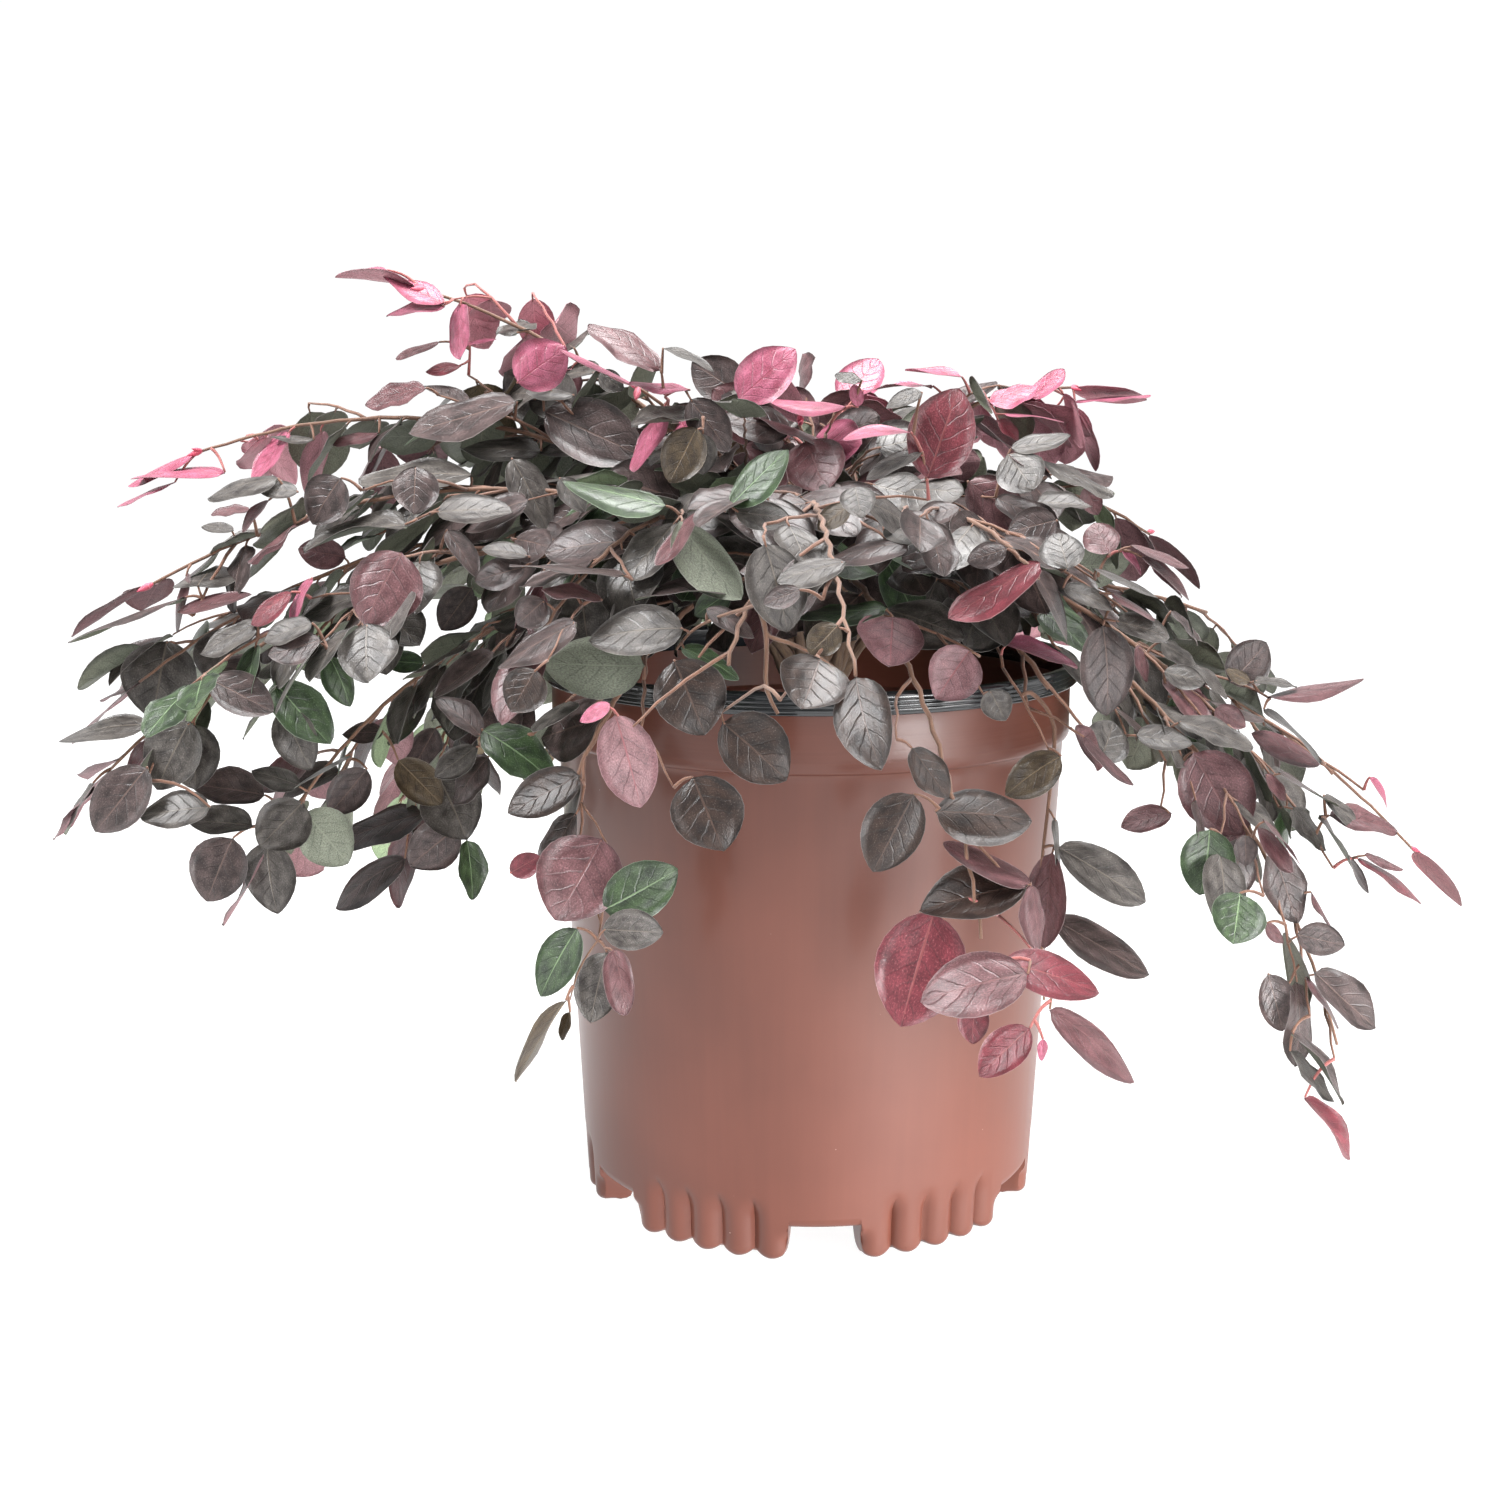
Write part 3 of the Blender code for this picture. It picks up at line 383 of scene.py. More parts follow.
# Growth: angles from the limb and lift above level in degrees, lengths in metres
NODE_STEP = 0.0122
NODE_SPREAD = (0.8, 1.15)
STEM_BASE, STEM_END = 0.0013, 0.0006
STEM_KINK = 0.0006
TWIG_BASE, TWIG_END = 0.0008, 0.00045
TWIG_KINK = 0.0004
TWIG_ANGLE = (30, 60)
TWIG_LIFT = (-38, 28)
HIGH_TWIG_LIFT = (-25, 65)
INNER_TWIG_LIFT = (-10, 60)
TWIG_STEP = 0.006
TWIG_SAG = 0.22
TWIG_LENGTH_IN, TWIG_LENGTH_OUT = 0.066, 0.034
TWIG_FIRST_NODE, TWIG_LAST_NODE = 0.004, 0.010
INNER_TWIG_PLACES = (0.50, 0.65, 0.80, 0.94)
INNER_TWIG_LENGTH = (0.022, 0.052)
INNER_TWIG_CHANCE = 0.85
FINE_TWIG_LENGTH = (0.016, 0.034)
FINE_TWIG_CHANCE = 0.42
FINE_TWIG_SLIM = 0.8
LAST_TWIG = 0.93
DENSE_TO = 0.45
STALK_RADII = (0.0007, 0.0005, 0.0004)
PETIOLE = 0.0036
TIP_LEAF = 0.036
TIP_LEAF_RATIO, TIP_LEAF_FOLD = 0.55, 0.1
SIDE_LEAF_ANGLE = (40, 80)
SIDE_LEAF_LIFT = (-80, 10)
LEAF_LENGTH = (0.025, 0.036)
LEAF_RATIO = (0.64, 0.90)
LEAF_FOLD = (-0.05, 0.32)
LEAF_REACH = 0.45
LEAF_THICKNESS = 0.00035
LEAF_ROOM = 0.0088
POT_ROOM = 0.0025
TRIES = 5

# Leaves placed by the photograph: the slimmest and broadest that a leaf is before it is turned, how they are
# held, how far away in pixels a limb may be and how much a nearer limb is worth, and how far out they reach
SLIM_LEAF = 0.66
BROAD_LEAF = 0.92
THINNEST_SEEN = 12
SHOWN_NEARER = 0.003
SHOWN_FOLD = (0.02, 0.22)
SHOWN_CLEAR = 0.004
SHOWN_ROOM = 0.001
SHOWN_REACH = 0.36
POT_PUSH, POT_PUSHES = 0.005, 12
LONGEST_STALK = 0.006
TWIGLET_RISE, TWIGLET_BACK = 0.12, 0.10
HOLD_REACH = 110
HOLD_NEAR = 14.0
FRONT_WORTH = 260
SHOWN_HALF_LENGTH, SHOWN_HALF_DEPTH, SHOWN_FOOT, SHOWN_TOP = 0.309, 0.239, 0.004, 0.406

# Leaf grid: stations along the midrib and across the blade, cells along its map, and leaves in one piece
ALONG = np.array((0.0, 0.03, 0.09, 0.18, 0.30, 0.43, 0.56, 0.69, 0.80, 0.89, 0.96, 1.0))
ACROSS = np.array((-1.0, -0.62, -0.28, 0.0, 0.28, 0.62, 1.0))
ATLAS = 4
PIECE_LEAVES = 560

# Bark: the length of limb that its map covers, and how fine its relief is
BARK_LENGTH = 0.32
BARK_GRAIN = 900


def polar(azimuth, radius, height):
    """The point at an azimuth in degrees, a distance from the pot's axis and a height."""
    angle = math.radians(azimuth)
    return Vector((radius * math.cos(angle), radius * math.sin(angle), height))


def lerp(low, high, share):
    return low + (high - low) * share


def smooth(low, high, value):
    share = np.clip((value - low) / (high - low), 0.0, 1.0)
    return share * share * (3 - 2 * share)


# Meshes

def add_object(name, data):
    obj = bpy.data.objects.new(name, data)
    bpy.context.scene.collection.objects.link(obj)
    return obj


def new_piece(name, form, materials, replaced=()):
    """A mesh or a heap as a piece of the plant, riding on its one body."""
    mesh = form.mesh(name) if isinstance(form, Heap) else form
    obj = add_object(name, mesh)
    for material in materials:
        mesh.materials.append(material)
    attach(obj, "root")
    if replaced:
        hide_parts(*replaced)


def new_mesh(name, points, faces):
    mesh = bpy.data.meshes.new(name)
    mesh.from_pydata(points, [], faces)
    mesh.shade_smooth()
    return mesh


def ring_points(radius, angles, height):
    """Points round the pot's axis; radius and height are numbers, or one for each angle."""
    height = np.full(len(angles), height) if np.isscalar(height) else height
    return np.column_stack((radius * np.cos(angles), radius * np.sin(angles), height))


def grid_faces(rows, columns, closed=False):
    """Quads of a grid of points, wrapped round its columns where closed."""
    span = columns if closed else columns - 1
    row, column = np.meshgrid(np.arange(rows - 1), np.arange(span), indexing="ij")
    after = (column + 1) % columns
    start = row * columns
    quads = np.stack((start + column, start + after, start + columns + after, start + columns + column), -1)
    return quads.reshape(-1, 4)


def tube_caps(rows, sides):
    """Triangles that close a tube's two ends on their middle points."""
    corner = np.arange(sides)
    after = (corner + 1) % sides
    last = (rows - 1) * sides
    first_cap = np.stack((after, corner, np.full(sides, rows * sides)), -1)
    last_cap = np.stack((last + corner, last + after, np.full(sides, rows * sides + 1)), -1)
    return np.vstack((first_cap, last_cap))


class Heap:
    """Many small things joined in one mesh, with a UV pair and a material number for each face's corners."""

    def __init__(self):
        self.points, self.faces, self.uvs, self.slots = [], [], [], []
        self.count = 0

    def add(self, points, uvs, *patches):
        """Each patch is faces, the UV pairs that their corners take, and a material number."""
        for faces, pairs, slot in patches:
            self.faces += (faces + self.count).tolist()
            self.uvs.append(uvs[pairs.reshape(-1)])
            self.slots += [slot] * len(faces)
        self.points.append(points)
        self.count += len(points)

    def add_skin(self, rows, sides, skin, ends, heights):
        """A closed tube from its rings of points, its two end points and the map's height at each ring."""
        around = np.tile(0.02 + 0.96 * np.abs(1 - 2 * np.arange(sides) / sides), rows)
        uvs = np.column_stack((around, np.repeat(heights, sides)))
        uvs = np.vstack((uvs, (0.5, heights[0]), (0.5, heights[-1])))
        quads, caps = grid_faces(rows, sides, closed=True), tube_caps(rows, sides)
        self.add(np.vstack((skin, *ends)), uvs, (quads, quads, 0), (caps, caps, 0))

    def mesh(self, name):
        mesh = new_mesh(name, np.concatenate(self.points).tolist(), self.faces)
        layer = mesh.uv_layers.new(name="OFBake")
        layer.data.foreach_set("uv", np.concatenate(self.uvs).astype(np.float32).ravel())
        mesh.polygons.foreach_set("material_index", np.array(self.slots, np.int32))
        return mesh


def frames_along(points):
    """Two directions across a line at each of its points, turned as little as can be."""
    ways = np.gradient(points, axis=0)
    ways /= np.linalg.norm(ways, axis=1)[:, None]
    first = np.cross(ways[0], (0.0, 0.0, 1.0) if abs(ways[0][2]) < 0.9 else (1.0, 0.0, 0.0))
    sides = [first / np.linalg.norm(first)]
    for way in ways[1:]:
        side = sides[-1] - way * np.dot(sides[-1], way)
        sides.append(side / np.linalg.norm(side))
    sides = np.array(sides)
    return sides, np.cross(ways, sides)


def add_tube(heap, points, radii, sides, rng, relief=0.0):
    """A closed tapering tube; relief roughens its radius as bark does."""
    points = np.asarray(points, float)
    across, beside = frames_along(points)
    angles = np.arange(sides) * 2 * math.pi / sides
    ring = np.asarray(radii, float)[:, None] * np.ones(sides)
    if relief:
        for row, column in np.ndindex(ring.shape):
            turned = Vector((math.cos(angles[column]), math.sin(angles[column]), 0))
            ring[row, column] *= 1 + relief * noise.noise(Vector(points[row]) * BARK_GRAIN + turned)
    skin = (
        points[:, None]
        + across[:, None] * (ring * np.cos(angles))[..., None]
        + beside[:, None] * (ring * np.sin(angles))[..., None]
    ).reshape(-1, 3)
    length = np.concatenate(((0.0,), np.cumsum(np.linalg.norm(np.diff(points, axis=0), axis=1))))
    start = rng.uniform(0.0, max(0.0, 1 - length[-1] / BARK_LENGTH))
    heights = np.clip(start + length / BARK_LENGTH, 0.0, 1.0)
    heap.add_skin(len(points), sides, skin, (points[0], points[-1]), heights)


# Shoots

def stem_axis(height):
    share = max(0.0, height - SOIL_TOP - FLARE_HEIGHT / 2) / (STEM_FORK - SOIL_TOP)
    return Vector((STEM_LEAN * share, 0.3 * STEM_LEAN * share, height))


def stem_radius(height):
    share = (height - SOIL_TOP) / (STEM_FORK - SOIL_TOP)
    flare = math.exp(-((max(height - SOIL_TOP, 0.0)) / (0.45 * FLARE_HEIGHT)) ** 1.3)
    return lerp(STEM_RADIUS, STEM_TOP_RADIUS, share) + (FLARE_RADIUS - STEM_RADIUS) * flare


def shoot_joint(azimuth, tier):
    """Where a shoot's bough leaves the stem, and the way it points there."""
    outward = polar(azimuth, 1.0, 0.0)
    lean = (stem_axis(STEM_FORK) - stem_axis(STEM_FORK - STEM_RADIUS)).normalized()
    if tier < TOP_TIER:
        height = LOWEST_TIER + TIER_STEP * tier
        room = CLEARANCE + BOUGH_RADIUS * math.hypot(lean.x, lean.y)
        return stem_axis(height) + outward * (stem_radius(height) + room), outward
    across = (outward - lean * outward.dot(lean)).normalized()
    return stem_axis(STEM_FORK) + across * CROWN_RING + lean * CLEARANCE, lean


def arc(start, handle, end, share):
    return start * (1 - share) ** 2 + handle * 2 * share * (1 - share) + end * share ** 2


class Shoot:
    """One arching limb: a bough up to its shoulder, and the foliage's stem beyond."""

    def __init__(self, name):
        azimuth, reach, height, shoulder_reach, shoulder_height, swing, tier = SHOOTS[name]
        self.name = name
        self.young, self.young_share = YOUNG.get(name, ("plum", 0.10))
        self.joint, self.spur = shoot_joint(azimuth + swing, tier)
        self.root = self.joint + self.spur * BOUGH_SPUR
        self.shoulder = polar(azimuth + swing, shoulder_reach, shoulder_height)
        self.tip = polar(azimuth, reach, height)
        self.outer_length = (self.tip - self.shoulder).length
        heading = (self.tip - self.root).normalized() + UP * SHOOT_ARCH
        self.heading = heading.normalized()
        self.inner_handle = self.shoulder - self.heading * (self.shoulder - self.root).length / 2
        self.outer_handle = self.shoulder + self.heading * self.outer_length / 2
        self.outer_handle -= UP * DRAWN_DOWN.get(name, 0.0)

    def inner(self, share):
        return arc(self.root, self.inner_handle, self.shoulder, share)

    def outer(self, share):
        return arc(self.shoulder, self.outer_handle, self.tip, share)

    def stem_end(self):
        """Share of the outer arc at which the leaf at the tip begins."""
        share = 1.0
        while (self.tip - self.outer(share)).length < TIP_LEAF:
            share -= 0.005
        return share

    def line(self, count=30):
        shares = [step / (count - 1) for step in range(count)]
        return [self.inner(share) for share in shares] + [self.outer(share) for share in shares]


def sideways(heading):
    side = heading.cross(UP)
    return side.normalized() if side.length > 0.2 else Vector((0, 1, 0))


def outwards(point):
    """The level direction from the pot's axis to a point."""
    return Vector((point.x, point.y, 0.0)).normalized()


def heading_at(points, step):
    return (points[step + 1] - points[step - 1]).normalized()


def branch_way(heading, hand, angle, lift):
    """Direction that leaves a heading by an angle, to one hand, lifted above level."""
    angle, lift = math.radians(angle), math.radians(lift)
    out = sideways(heading) * hand * math.cos(lift) + UP * math.sin(lift)
    return (heading * math.cos(angle) + out * math.sin(angle)).normalized()


def kinked(points, rng, amount):
    """A line turned a little to one side and the other, as its leaf nodes turn it."""
    bent = [points[0].copy()]
    for step in range(1, len(points) - 1):
        shift = sideways(heading_at(points, step)) * (amount if step % 2 else -amount)
        bent.append(points[step] + shift + UP * rng.uniform(-amount, amount) * 0.6)
    return bent + [points[-1].copy()]


def wall_radius(height):
    share = (height - FLOOR_UNDERSIDE) / (COLLAR_FOOT - FLOOR_UNDERSIDE)
    return lerp(WALL_FOOT_RADIUS, WALL_TOP_RADIUS, share)


def clear_of_pot(point, room=POT_ROOM):
    """True outside the pot's wall and rim, and in its mouth above the soil."""
    radius = math.hypot(point.x, point.y)
    if point.z > POT_HEIGHT + room or radius > RIM_RADIUS + room:
        return True
    if radius < COLLAR_RADIUS - WALL - room:
        return point.z > SOIL_TOP + room
    collar = POT_ROOM if point.z > COLLAR_FOOT - room else 0.0
    return point.z < BAND_FOOT - room and radius > wall_radius(point.z) + room + collar


def tree_of(points):
    tree = kdtree.KDTree(len(points))
    for index, point in enumerate(points):
        tree.insert(point, index)
    tree.balance()
    return tree


# The photograph's view, in its 1500-pixel frame

CAMERA_PLACE = Vector((-0.026, -0.855, 0.352))
CAMERA_TILT = math.radians(10.5)
CAMERA_AHEAD = Vector((0, math.cos(CAMERA_TILT), -math.sin(CAMERA_TILT)))
CAMERA_UP = Vector((0, math.sin(CAMERA_TILT), math.cos(CAMERA_TILT)))
CAMERA_LENS, CAMERA_SENSOR = 47.76, 36.0
FOCUS = 1990.0
MIDDLE = 750.0


def seen_at(point):
    """Pixel of a point in the photograph's frame, and its distance ahead of the camera."""
    offset = point - CAMERA_PLACE
    ahead = offset.dot(CAMERA_AHEAD)
    return MIDDLE + FOCUS * offset.x / ahead, MIDDLE - FOCUS * offset.dot(CAMERA_UP) / ahead, ahead


def place_at(x, y, ahead):
    """The point seen at a pixel, at a distance ahead of the camera."""
    across = Vector((x - MIDDLE, 0, 0)) + CAMERA_UP * (MIDDLE - y)
    return CAMERA_PLACE + CAMERA_AHEAD * ahead + across * (ahead / FOCUS)


def turned_leaf(across, down, width):
    """Way, face, length in pixels and ratio of a leaf that is seen with this midrib and width in pixels."""
    length_seen = math.hypot(across, down)
    way = (Vector((across, 0, 0)) - CAMERA_UP * down) / length_seen
    slimness = width / length_seen
    length, roll = length_seen, 0.0
    if slimness < SLIM_LEAF:
        roll = math.acos(slimness / SLIM_LEAF)
    elif slimness > BROAD_LEAF:
        length = width / BROAD_LEAF
        pitch = math.acos(length_seen / length)
        toward = -1 if down > 0 else 1
        way = way * math.cos(pitch) + CAMERA_AHEAD * toward * math.sin(pitch)
    normal = -CAMERA_AHEAD
    normal = (normal - way * normal.dot(way)).normalized()
    side = way.cross(normal)
    if side.z < 0:
        side = -side
    normal = normal * math.cos(roll) + side * math.sin(roll)
    return way, normal, length, min(BROAD_LEAF, max(SLIM_LEAF, slimness))


# The crown

class Limb:
    """A stem or twig, cut back to the furthest point that carries something."""

    def __init__(self, look, points, radii, sides, parent=None, parent_step=0):
        self.look, self.points, self.radii, self.sides = look, points, radii, sides
        self.parent, self.parent_step = parent, parent_step
        self.used = 0

    def use(self, step):
        self.used = max(self.used, step)
        if self.parent:
            self.parent.use(self.parent_step)

    def kept(self):
        last = min(self.used, len(self.points) - 1) + 1
        return self.points[:last], self.radii[:last]


def twig_look(kind):
    return "young_twigs" if kind in ("rose", "wine") else "twigs"


Leaf = collections.namedtuple("Leaf", "root way normal length ratio kind fold seed")


def cell_of(point):
    return tuple(int(math.floor(value / LEAF_ROOM)) for value in point)


class Crown:
    """Grows limbs first, then the leaves the photograph shows best, then all the others."""

    def __init__(self, shoots):
        lines = [shoot.line() for shoot in shoots]
        self.owners = [number for number, line in enumerate(lines) for _ in line]
        self.all_lines = tree_of([spot for line in lines for spot in line])
        self.own_lines = [tree_of(line) for line in lines]
        self.rises = [HIGH_RISE if shoot.name in HIGH_SHOOTS else RISE_ABOVE_SHOOT for shoot in shoots]
        self.limbs = []
        self.leaves = []
        self.nodes = []
        self.holds = []
        self.centres = {}
        self.shown = []

    def in_space(self, number, point):
        """True in the crown's box and in one shoot's own space in it."""
        if abs(point.x) > CROWN_HALF_LENGTH or abs(point.y) > CROWN_HALF_DEPTH:
            return False
        if not CROWN_FOOT < point.z < CROWN_TOP:
            return False
        spot, _, own = self.own_lines[number].find(point)
        if point.z > spot.z + self.rises[number]:
            return False
        _, index, nearest = self.all_lines.find(point)
        return self.owners[index] == number or nearest > own - SPACE_SHARED

    def hides_shown(self, point):
        """True where a leaf would hide a shown leaf, the pot where it is bare, or the photograph's sky."""
        x, y, ahead = seen_at(point)
        if y < np.interp(x, *SKYLINE) or y > np.interp(x, *HEMLINE):
            return True
        for left, top, right, bottom, depth in BARE:
            if left < x < right and top < y < bottom and ahead < depth:
                return True
        for middle_x, middle_y, reach, distance in self.shown:
            if ahead < distance + SHOWN_CLEAR and math.hypot(x - middle_x, y - middle_y) < reach:
                return True
        return False

    def roomy(self, point):
        """True where no leaf's middle lies close by."""
        cell = cell_of(point)
        for offset in itertools.product((-1, 0, 1), repeat=3):
            for other in self.centres.get(tuple(a + b for a, b in zip(cell, offset)), ()):
                if (other - point).length < LEAF_ROOM:
                    return False
        return True

    def keep_leaf(self, root, way, face, length, ratio, kind, fold, rng):
        normal = (face - way * face.dot(way)).normalized()
        middle = root + way * length * 0.5
        self.centres.setdefault(cell_of(middle), []).append(middle)
        self.leaves.append(Leaf(root, way, normal, length, ratio, kind, fold, rng.random()))

    def add_leaf(self, number, root, way, face, length, kind, rng):
        """Add a leaf if it stays in its space and out of the pot; say whether it did."""
        normal = (face - way * face.dot(way)).normalized()
        side = way.cross(normal)
        ratio = rng.uniform(*LEAF_RATIO)
        middle = root + way * length * 0.5
        spots = [middle, root + way * length]
        spots += [middle + side * hand * length * ratio * LEAF_REACH for hand in (-1, 1)]
        if not all(self.in_space(number, spot) for spot in spots[:2]):
            return False
        if not all(clear_of_pot(spot) for spot in spots + [root]):
            return False
        if not self.roomy(middle) or any(self.hides_shown(spot) for spot in spots):
            return False
        self.keep_leaf(root, way, face, length, ratio, kind, rng.uniform(*LEAF_FOLD), rng)
        return True

    def add_limb(self, look, points, radii, sides, parent=None, parent_step=0):
        limb = Limb(look, points, radii, sides, parent, parent_step)
        self.limbs.append(limb)
        return limb

    def stalk(self, points, kind, limb, step):
        self.add_limb(twig_look(kind), points, STALK_RADII, 5, limb, step).use(2)

    def side_leaf(self, number, limb, step, heading, hand, kind, rng, size):
        """A leaf on a short stalk at one hand of a limb."""
        spot = limb.points[step]
        outward = outwards(spot)
        for _ in range(TRIES):
            way = branch_way(heading, hand, rng.uniform(*SIDE_LEAF_ANGLE), rng.uniform(*SIDE_LEAF_LIFT))
            face = UP * rng.uniform(0.35, 0.9) + outward * rng.uniform(0.4, 1.4)
            face += sideways(heading) * hand * rng.uniform(0.1, 0.9)
            stalk = PETIOLE * rng.uniform(0.7, 1.3)
            length = rng.uniform(*LEAF_LENGTH) * size
            start = (heading * 0.5 + way).normalized()
            root = spot + start * stalk * 0.6 + way * stalk * 0.4
            if self.add_leaf(number, root, way, face, length, kind, rng):
                self.stalk([spot, spot + start * stalk * 0.6, root + way * 0.0015], kind, limb, step)
                return

    def tip_leaf(self, number, limb, step, heading, kind, rng, size):
        """A leaf that goes on from the tip of a twig."""
        spot = limb.points[step]
        for _ in range(TRIES):
            way = heading + UP * rng.uniform(-0.45, 0.05) + sideways(heading) * rng.uniform(-0.3, 0.3)
            way.normalize()
            face = UP * 0.8 + outwards(spot) * rng.uniform(0.5, 1.1)
            face += sideways(way) * rng.uniform(-0.5, 0.5)
            if self.add_leaf(number, spot, way, face, rng.uniform(*LEAF_LENGTH) * size, kind, rng):
                limb.use(step)
                return

    def twig(self, number, parent, parent_step, base, heading, hand, length, kind, rng, lift, fine=False):
        """A side twig that sags, with nodes for leaves on both hands and at its tip, and fine twigs."""
        for _ in range(TRIES):
            way = branch_way(heading, hand, rng.uniform(*TWIG_ANGLE), rng.uniform(*lift))
            steps = max(4, round(length / TWIG_STEP))
            points = []
            for step in range(steps + 1):
                share = step / steps
                points.append(base + way * length * share - UP * TWIG_SAG * length * share ** 2)
            if all(self.in_space(number, point) and clear_of_pot(point) for point in points[2:]):
                break
        else:
            return
        bent = kinked(points, rng, TWIG_KINK)
        slim = FINE_TWIG_SLIM if fine else 1.0
        radii = [slim * lerp(TWIG_BASE, TWIG_END, step / steps) for step in range(steps + 1)]
        limb = self.add_limb(twig_look(kind), bent, radii, 6, parent, parent_step)
        self.holds += [(bent[step], limb, step) for step in range(1, steps + 1)]
        end = (bent[-1] - bent[-2]).normalized()
        self.nodes.append((self.tip_leaf, (number, limb, steps, end, kind), 0.95))
        distance = TWIG_FIRST_NODE
        side = hand
        while distance < length - TWIG_LAST_NODE:
            step = min(steps - 1, max(1, round((1 - distance / length) * steps)))
            way = heading_at(bent, step)
            self.nodes.append((self.side_leaf, (number, limb, step, way, side, kind), 0.96))
            if not fine and distance > TWIG_LAST_NODE and rng.random() < FINE_TWIG_CHANCE:
                reach = rng.uniform(*FINE_TWIG_LENGTH)
                self.twig(number, limb, step, bent[step], way, -side, reach, kind, rng, TWIG_LIFT, fine=True)
            distance += NODE_STEP * rng.uniform(*NODE_SPREAD)
            side = -side

    def spray_kind(self, shoot, along, rng):
        """Colour of a spray: the shoot's young colour towards its tip, else an old one."""
        if along > 1 - shoot.young_share * rng.uniform(0.7, 1.2):
            return shoot.young
        if shoot.young == "rose" and along > 1 - 1.8 * shoot.young_share and rng.random() < 0.35:
            return "plum"
        draw = rng.random()
        for old, part in OLD_SPRAYS:
            draw -= part
            if draw < 0:
                return old
        return "dusk"

    def shoot(self, number, shoot):
        """Grow one shoot beyond its shoulder, with its side twigs and their leaf nodes."""
        rng = random.Random("looks_" + shoot.name)
        end = shoot.stem_end()
        steps = max(8, round(shoot.outer_length * end / (NODE_STEP / 2)))
        points = kinked([shoot.outer(end * step / steps) for step in range(steps + 1)], rng, STEM_KINK)
        radii = [lerp(STEM_BASE, STEM_END, step / steps) for step in range(steps + 1)]
        stem = self.add_limb("stems", points, radii, 8)
        last = round(steps * CUT_SHORT.get(shoot.name, 1.0))
        stem.use(last)
        self.holds += [(points[step], stem, step) for step in range(2, last + 1)]
        heading = (shoot.tip - points[-1]).normalized()
        face = UP + outwards(shoot.tip) * 0.5
        face += sideways(heading) * rng.uniform(-0.5, 0.5)
        if last == steps:
            length = (shoot.tip - points[-1]).length * 0.995
            shape = (length, TIP_LEAF_RATIO, shoot.young, TIP_LEAF_FOLD)
            self.keep_leaf(points[-1], heading, face, *shape, rng)
        hand = rng.choice((-1, 1))
        lift = HIGH_TWIG_LIFT if shoot.name in HIGH_SHOOTS else TWIG_LIFT
        for step in range(last - 1, 0, -1):
            along = step / steps
            heading = heading_at(points, step)
            spray = self.spray_kind(shoot, along, rng)
            if step % 2 == 0:
                self.nodes.append((self.side_leaf, (number, stem, step, heading, hand, spray), 1.0))
                hand = -hand
            elif along < LAST_TWIG and ((step // 2) % 2 == 0 or along < DENSE_TO):
                length = lerp(TWIG_LENGTH_IN, TWIG_LENGTH_OUT, along) * rng.uniform(0.6, 1.1)
                self.twig(number, stem, step, points[step], heading, hand, length, spray, rng, lift)
        for share in INNER_TWIG_PLACES:
            base = shoot.inner(share)
            heading = (shoot.inner(share + 0.02) - shoot.inner(share - 0.02)).normalized()
            for hand in (-1, 1):
                if rng.random() < INNER_TWIG_CHANCE:
                    length = rng.uniform(*INNER_TWIG_LENGTH)
                    spray = self.spray_kind(shoot, 0.0, rng)
                    self.twig(number, None, 0, base, heading, hand, length, spray, rng, INNER_TWIG_LIFT)

    def nearest_hold(self, from_x, from_y):
        """The limb that is seen nearest a pixel, preferably at the front: its point, itself and its step."""
        best, hold, cost = None, None, math.inf
        for point, limb, step in self.holds:
            x, y, ahead = seen_at(point)
            gap = math.hypot(x - from_x, y - from_y)
            worth = max(gap, HOLD_NEAR) + FRONT_WORTH * ahead
            if gap < HOLD_REACH and worth < cost:
                best, hold, cost = point, (limb, step), worth
        return best, hold

    def shown_twig(self, thickness, distance, *pixels):
        """A twig the photograph shows, from the limb seen nearest its start."""
        best, hold = self.nearest_hold(*pixels[0])
        if best is None:
            return
        start = min(seen_at(best)[2], distance + 0.03)
        line = [best]
        for number, (x, y) in enumerate(pixels):
            line.append(place_at(x, y, lerp(start, distance, min(1.0, (number + 1) / 3))))
        halved = []
        for first, last in zip(line, line[1:]):
            halved += [first + (last - first) * share for share in (0.0, 0.5)]
        halved.append(line[-1])
        points = [(a + b * 2 + c) / 4 for a, b, c in zip(halved, halved[1:], halved[2:])]
        points = [halved[0]] + points + [halved[-1]]
        last = len(points) - 1
        radii = [thickness / 2000 * lerp(1.0, 0.55, step / last) for step in range(last + 1)]
        twig = self.add_limb("stems", points, radii, 8, *hold)
        twig.use(last)
        self.holds += [(points[step], twig, step) for step in range(1, last)]

